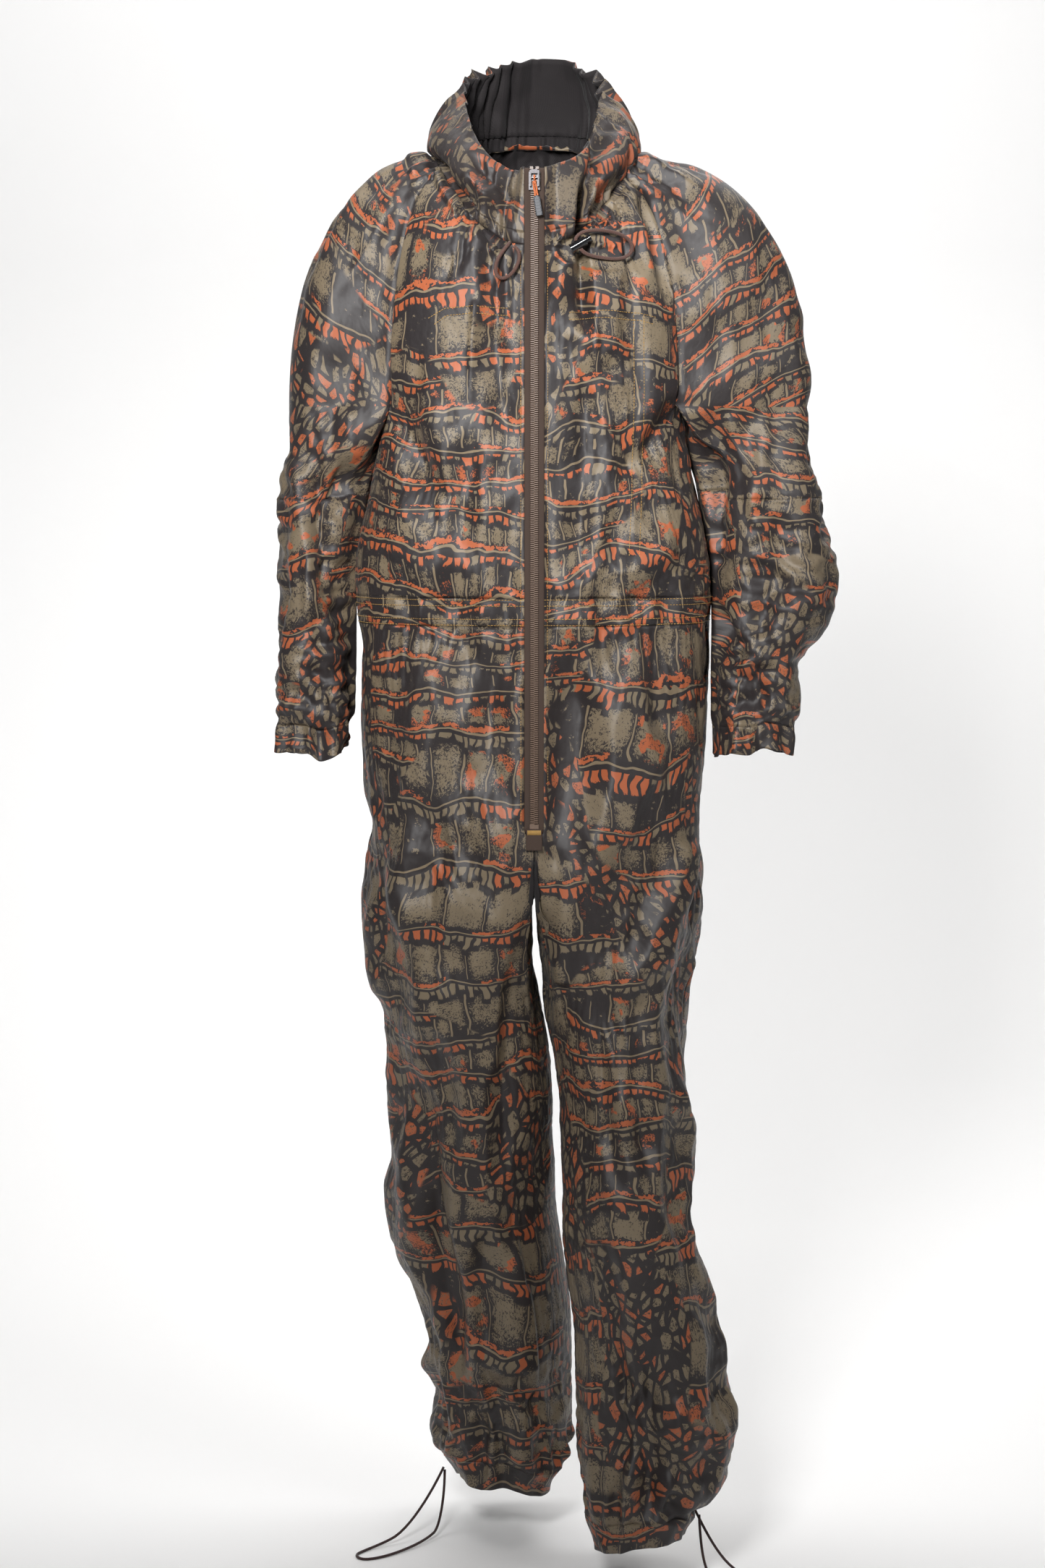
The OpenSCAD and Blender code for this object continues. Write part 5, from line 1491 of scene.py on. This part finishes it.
def zip_tab():
    """The folded tab over the zip's lower end, tacked down across its middle."""
    xs, zs = np.linspace(-8, 8, 17), np.linspace(-690, -668.6, 22)
    verts = [at_zip((x, -0.9 - 0.25 * math.exp(-((z + 671.5) / 1.2) ** 2) + 0.5 * (abs(x) > 7.5), z))
             for z in zs for x in xs]
    n, faces, uvs = len(xs), [], []
    for r in range(len(zs) - 1):
        for c in range(n - 1):
            ring = [(r, c), (r, c + 1), (r + 1, c + 1), (r + 1, c)]
            faces.append([a * n + b for a, b in ring])
            uvs += [(xs[b] * MM, zs[a] * MM) for a, b in ring]
    piece = mesh_object("zip_end_tab_folded", verts, faces, uvs)
    piece.data.materials.append(TAPE)
    solid = piece.modifiers.new("thick", "SOLIDIFY")
    solid.thickness = 0.0008
    solid.offset = 0.0
    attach(piece, "suit")
    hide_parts("zip_end_tab")
    threads = [tube("bar_tack", at_zip([(-6.4 + 0.8 * k, -1.5, -674.4 + 2.25 * j) for j in range(3)]),
                    0.34 * MM, 8) for k in range(17)]
    tack = joined(threads)
    tack.data.materials.append(THREAD)
    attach(tack, "suit")


zip_tab()

# ---------------------------------------------------------------- CAD nodes that stay, with their finish
FINISH = {"slider_body": METAL, "slider_bail": METAL, "slider_pin": STEEL,
          "pull_grip": GRIP, "lock_barrel": GLOSS, "lock_plunger": GLOSS, 
          "top_stop_left": COIL, "top_stop_right": COIL, "bottom_stop": COIL}
for name, material in FINISH.items():
    node = bpy.data.objects[name]
    for s in node.material_slots:
        s.material = material
    if not node.material_slots:
        node.data.materials.append(material)


def lock_frame(points):
    """From the cord lock's frame, z along the barrel, in mm, to metres."""
    q = np.asarray(points, dtype=float)
    c, sn = math.cos(math.radians(60)), math.sin(math.radians(60))
    return np.stack([q[..., 0] * c + q[..., 2] * sn + 43, q[..., 1] - 119.5,
                     -q[..., 0] * sn + q[..., 2] * c - 95], -1) * MM


turns = np.linspace(0, 3.0, 90)
coil = [((2.1 - 0.3 * t) * math.cos(2 * math.pi * t), (2.1 - 0.3 * t) * math.sin(2 * math.pi * t),
         -6.8 + 3.0 * t / 3.0) for t in turns]
spring = tube("lock_spring_coil", lock_frame(coil), 0.26 * MM, 8)
spring.data.materials.append(STEEL)
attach(spring, "cord_lock")
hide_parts("lock_spring")
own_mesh(spring)

# ---------------------------------------------------------------- floor, light
def add_stage():
    """A pale floor that curves up into the backdrop."""
    profile = [(-30.0, 0.0), (1.2, 0.0)]
    profile += [(1.2 + 1.6 * math.sin(a), 1.6 * (1 - math.cos(a))) for a in np.linspace(0.05, math.pi / 2, 20)]
    profile.append((2.8, 14.0))
    verts = [(x, y, FLOOR_Z + z) for y, z in profile for x in (-30.0, 30.0)]
    faces = [(2 * k, 2 * k + 1, 2 * k + 3, 2 * k + 2) for k in range(len(profile) - 1)]
    floor = mesh_object("floor", verts, faces)
    g = Graph("floor_pale")
    place = g.node("ShaderNodeNewGeometry").outputs["Position"]
    tone = g.noise(place, 1.5, 2.0)
    floor.data.materials.append(g.surface(
        g.blend(g.mul(tone, 0.06), (0.93, 0.925, 0.92, 1), (0.88, 0.88, 0.88, 1)), 0.7))
    # the backdrop shows only from its lit side, so it never hides the suit from behind, and the
    # floor fades out into the pale world where the lights no longer reach it
    axes = g.node("ShaderNodeSeparateXYZ", {0: place})
    out = g.math("MAXIMUM", g.math("ABSOLUTE", axes.outputs[0]), g.mul(axes.outputs[1], -1.0))
    behind = g.node("ShaderNodeNewGeometry").outputs["Backfacing"]
    hidden = g.math("MAXIMUM", behind, g.step(out, 1.7, 2.9))
    tree = g.mat.node_tree
    final = next(n for n in tree.nodes if n.type == "OUTPUT_MATERIAL").inputs["Surface"]
    one_sided = tree.nodes.new("ShaderNodeMixShader")
    tree.links.new(hidden, one_sided.inputs[0])
    tree.links.new(final.links[0].from_socket, one_sided.inputs[1])
    tree.links.new(tree.nodes.new("ShaderNodeBsdfTransparent").outputs[0], one_sided.inputs[2])
    tree.links.new(one_sided.outputs[0], final)
    world = bpy.data.worlds.new("world")
    world.use_nodes = True
    world.node_tree.nodes["Background"].inputs[0].default_value = (0.96, 0.955, 0.95, 1)
    # pale where the camera sees past the floor, dim as a light
    sees = world.node_tree.nodes.new("ShaderNodeLightPath")
    level = world.node_tree.nodes.new("ShaderNodeMapRange")
    level.inputs["To Min"].default_value = 0.085
    level.inputs["To Max"].default_value = 0.80
    world.node_tree.links.new(sees.outputs["Is Camera Ray"], level.inputs["Value"])
    world.node_tree.links.new(level.outputs[0], world.node_tree.nodes["Background"].inputs[1])
    scene.world = world


def area_light(name, place, aim, size, power_w, spread=180):
    data = bpy.data.lights.new(name, "AREA")
    data.shape = "RECTANGLE"
    data.size, data.size_y = size
    data.energy = power_w
    data.spread = math.radians(spread)
    light = bpy.data.objects.new(name, data)
    light.location = place
    light.rotation_euler = (Vector(aim) - Vector(place)).to_track_quat("-Z", "Y").to_euler()
    link(light)


add_stage()
area_light("key", (-0.45, -2.0, 0.42), (0.03, 0, -0.10), (0.5, 0.5), 15.5, 78)
area_light("fill", (1.5, -1.5, 0.5), (0, 0, -0.2), (0.8, 0.8), 3.6, 80)
area_light("rim", (0.9, 1.6, 1.7), (0, 0, -0.3), (1.4, 0.8), 12)
area_light("backdrop", (0, 0.6, 3.2), (0, 2.9, 0.0), (5.0, 1.2), 150)
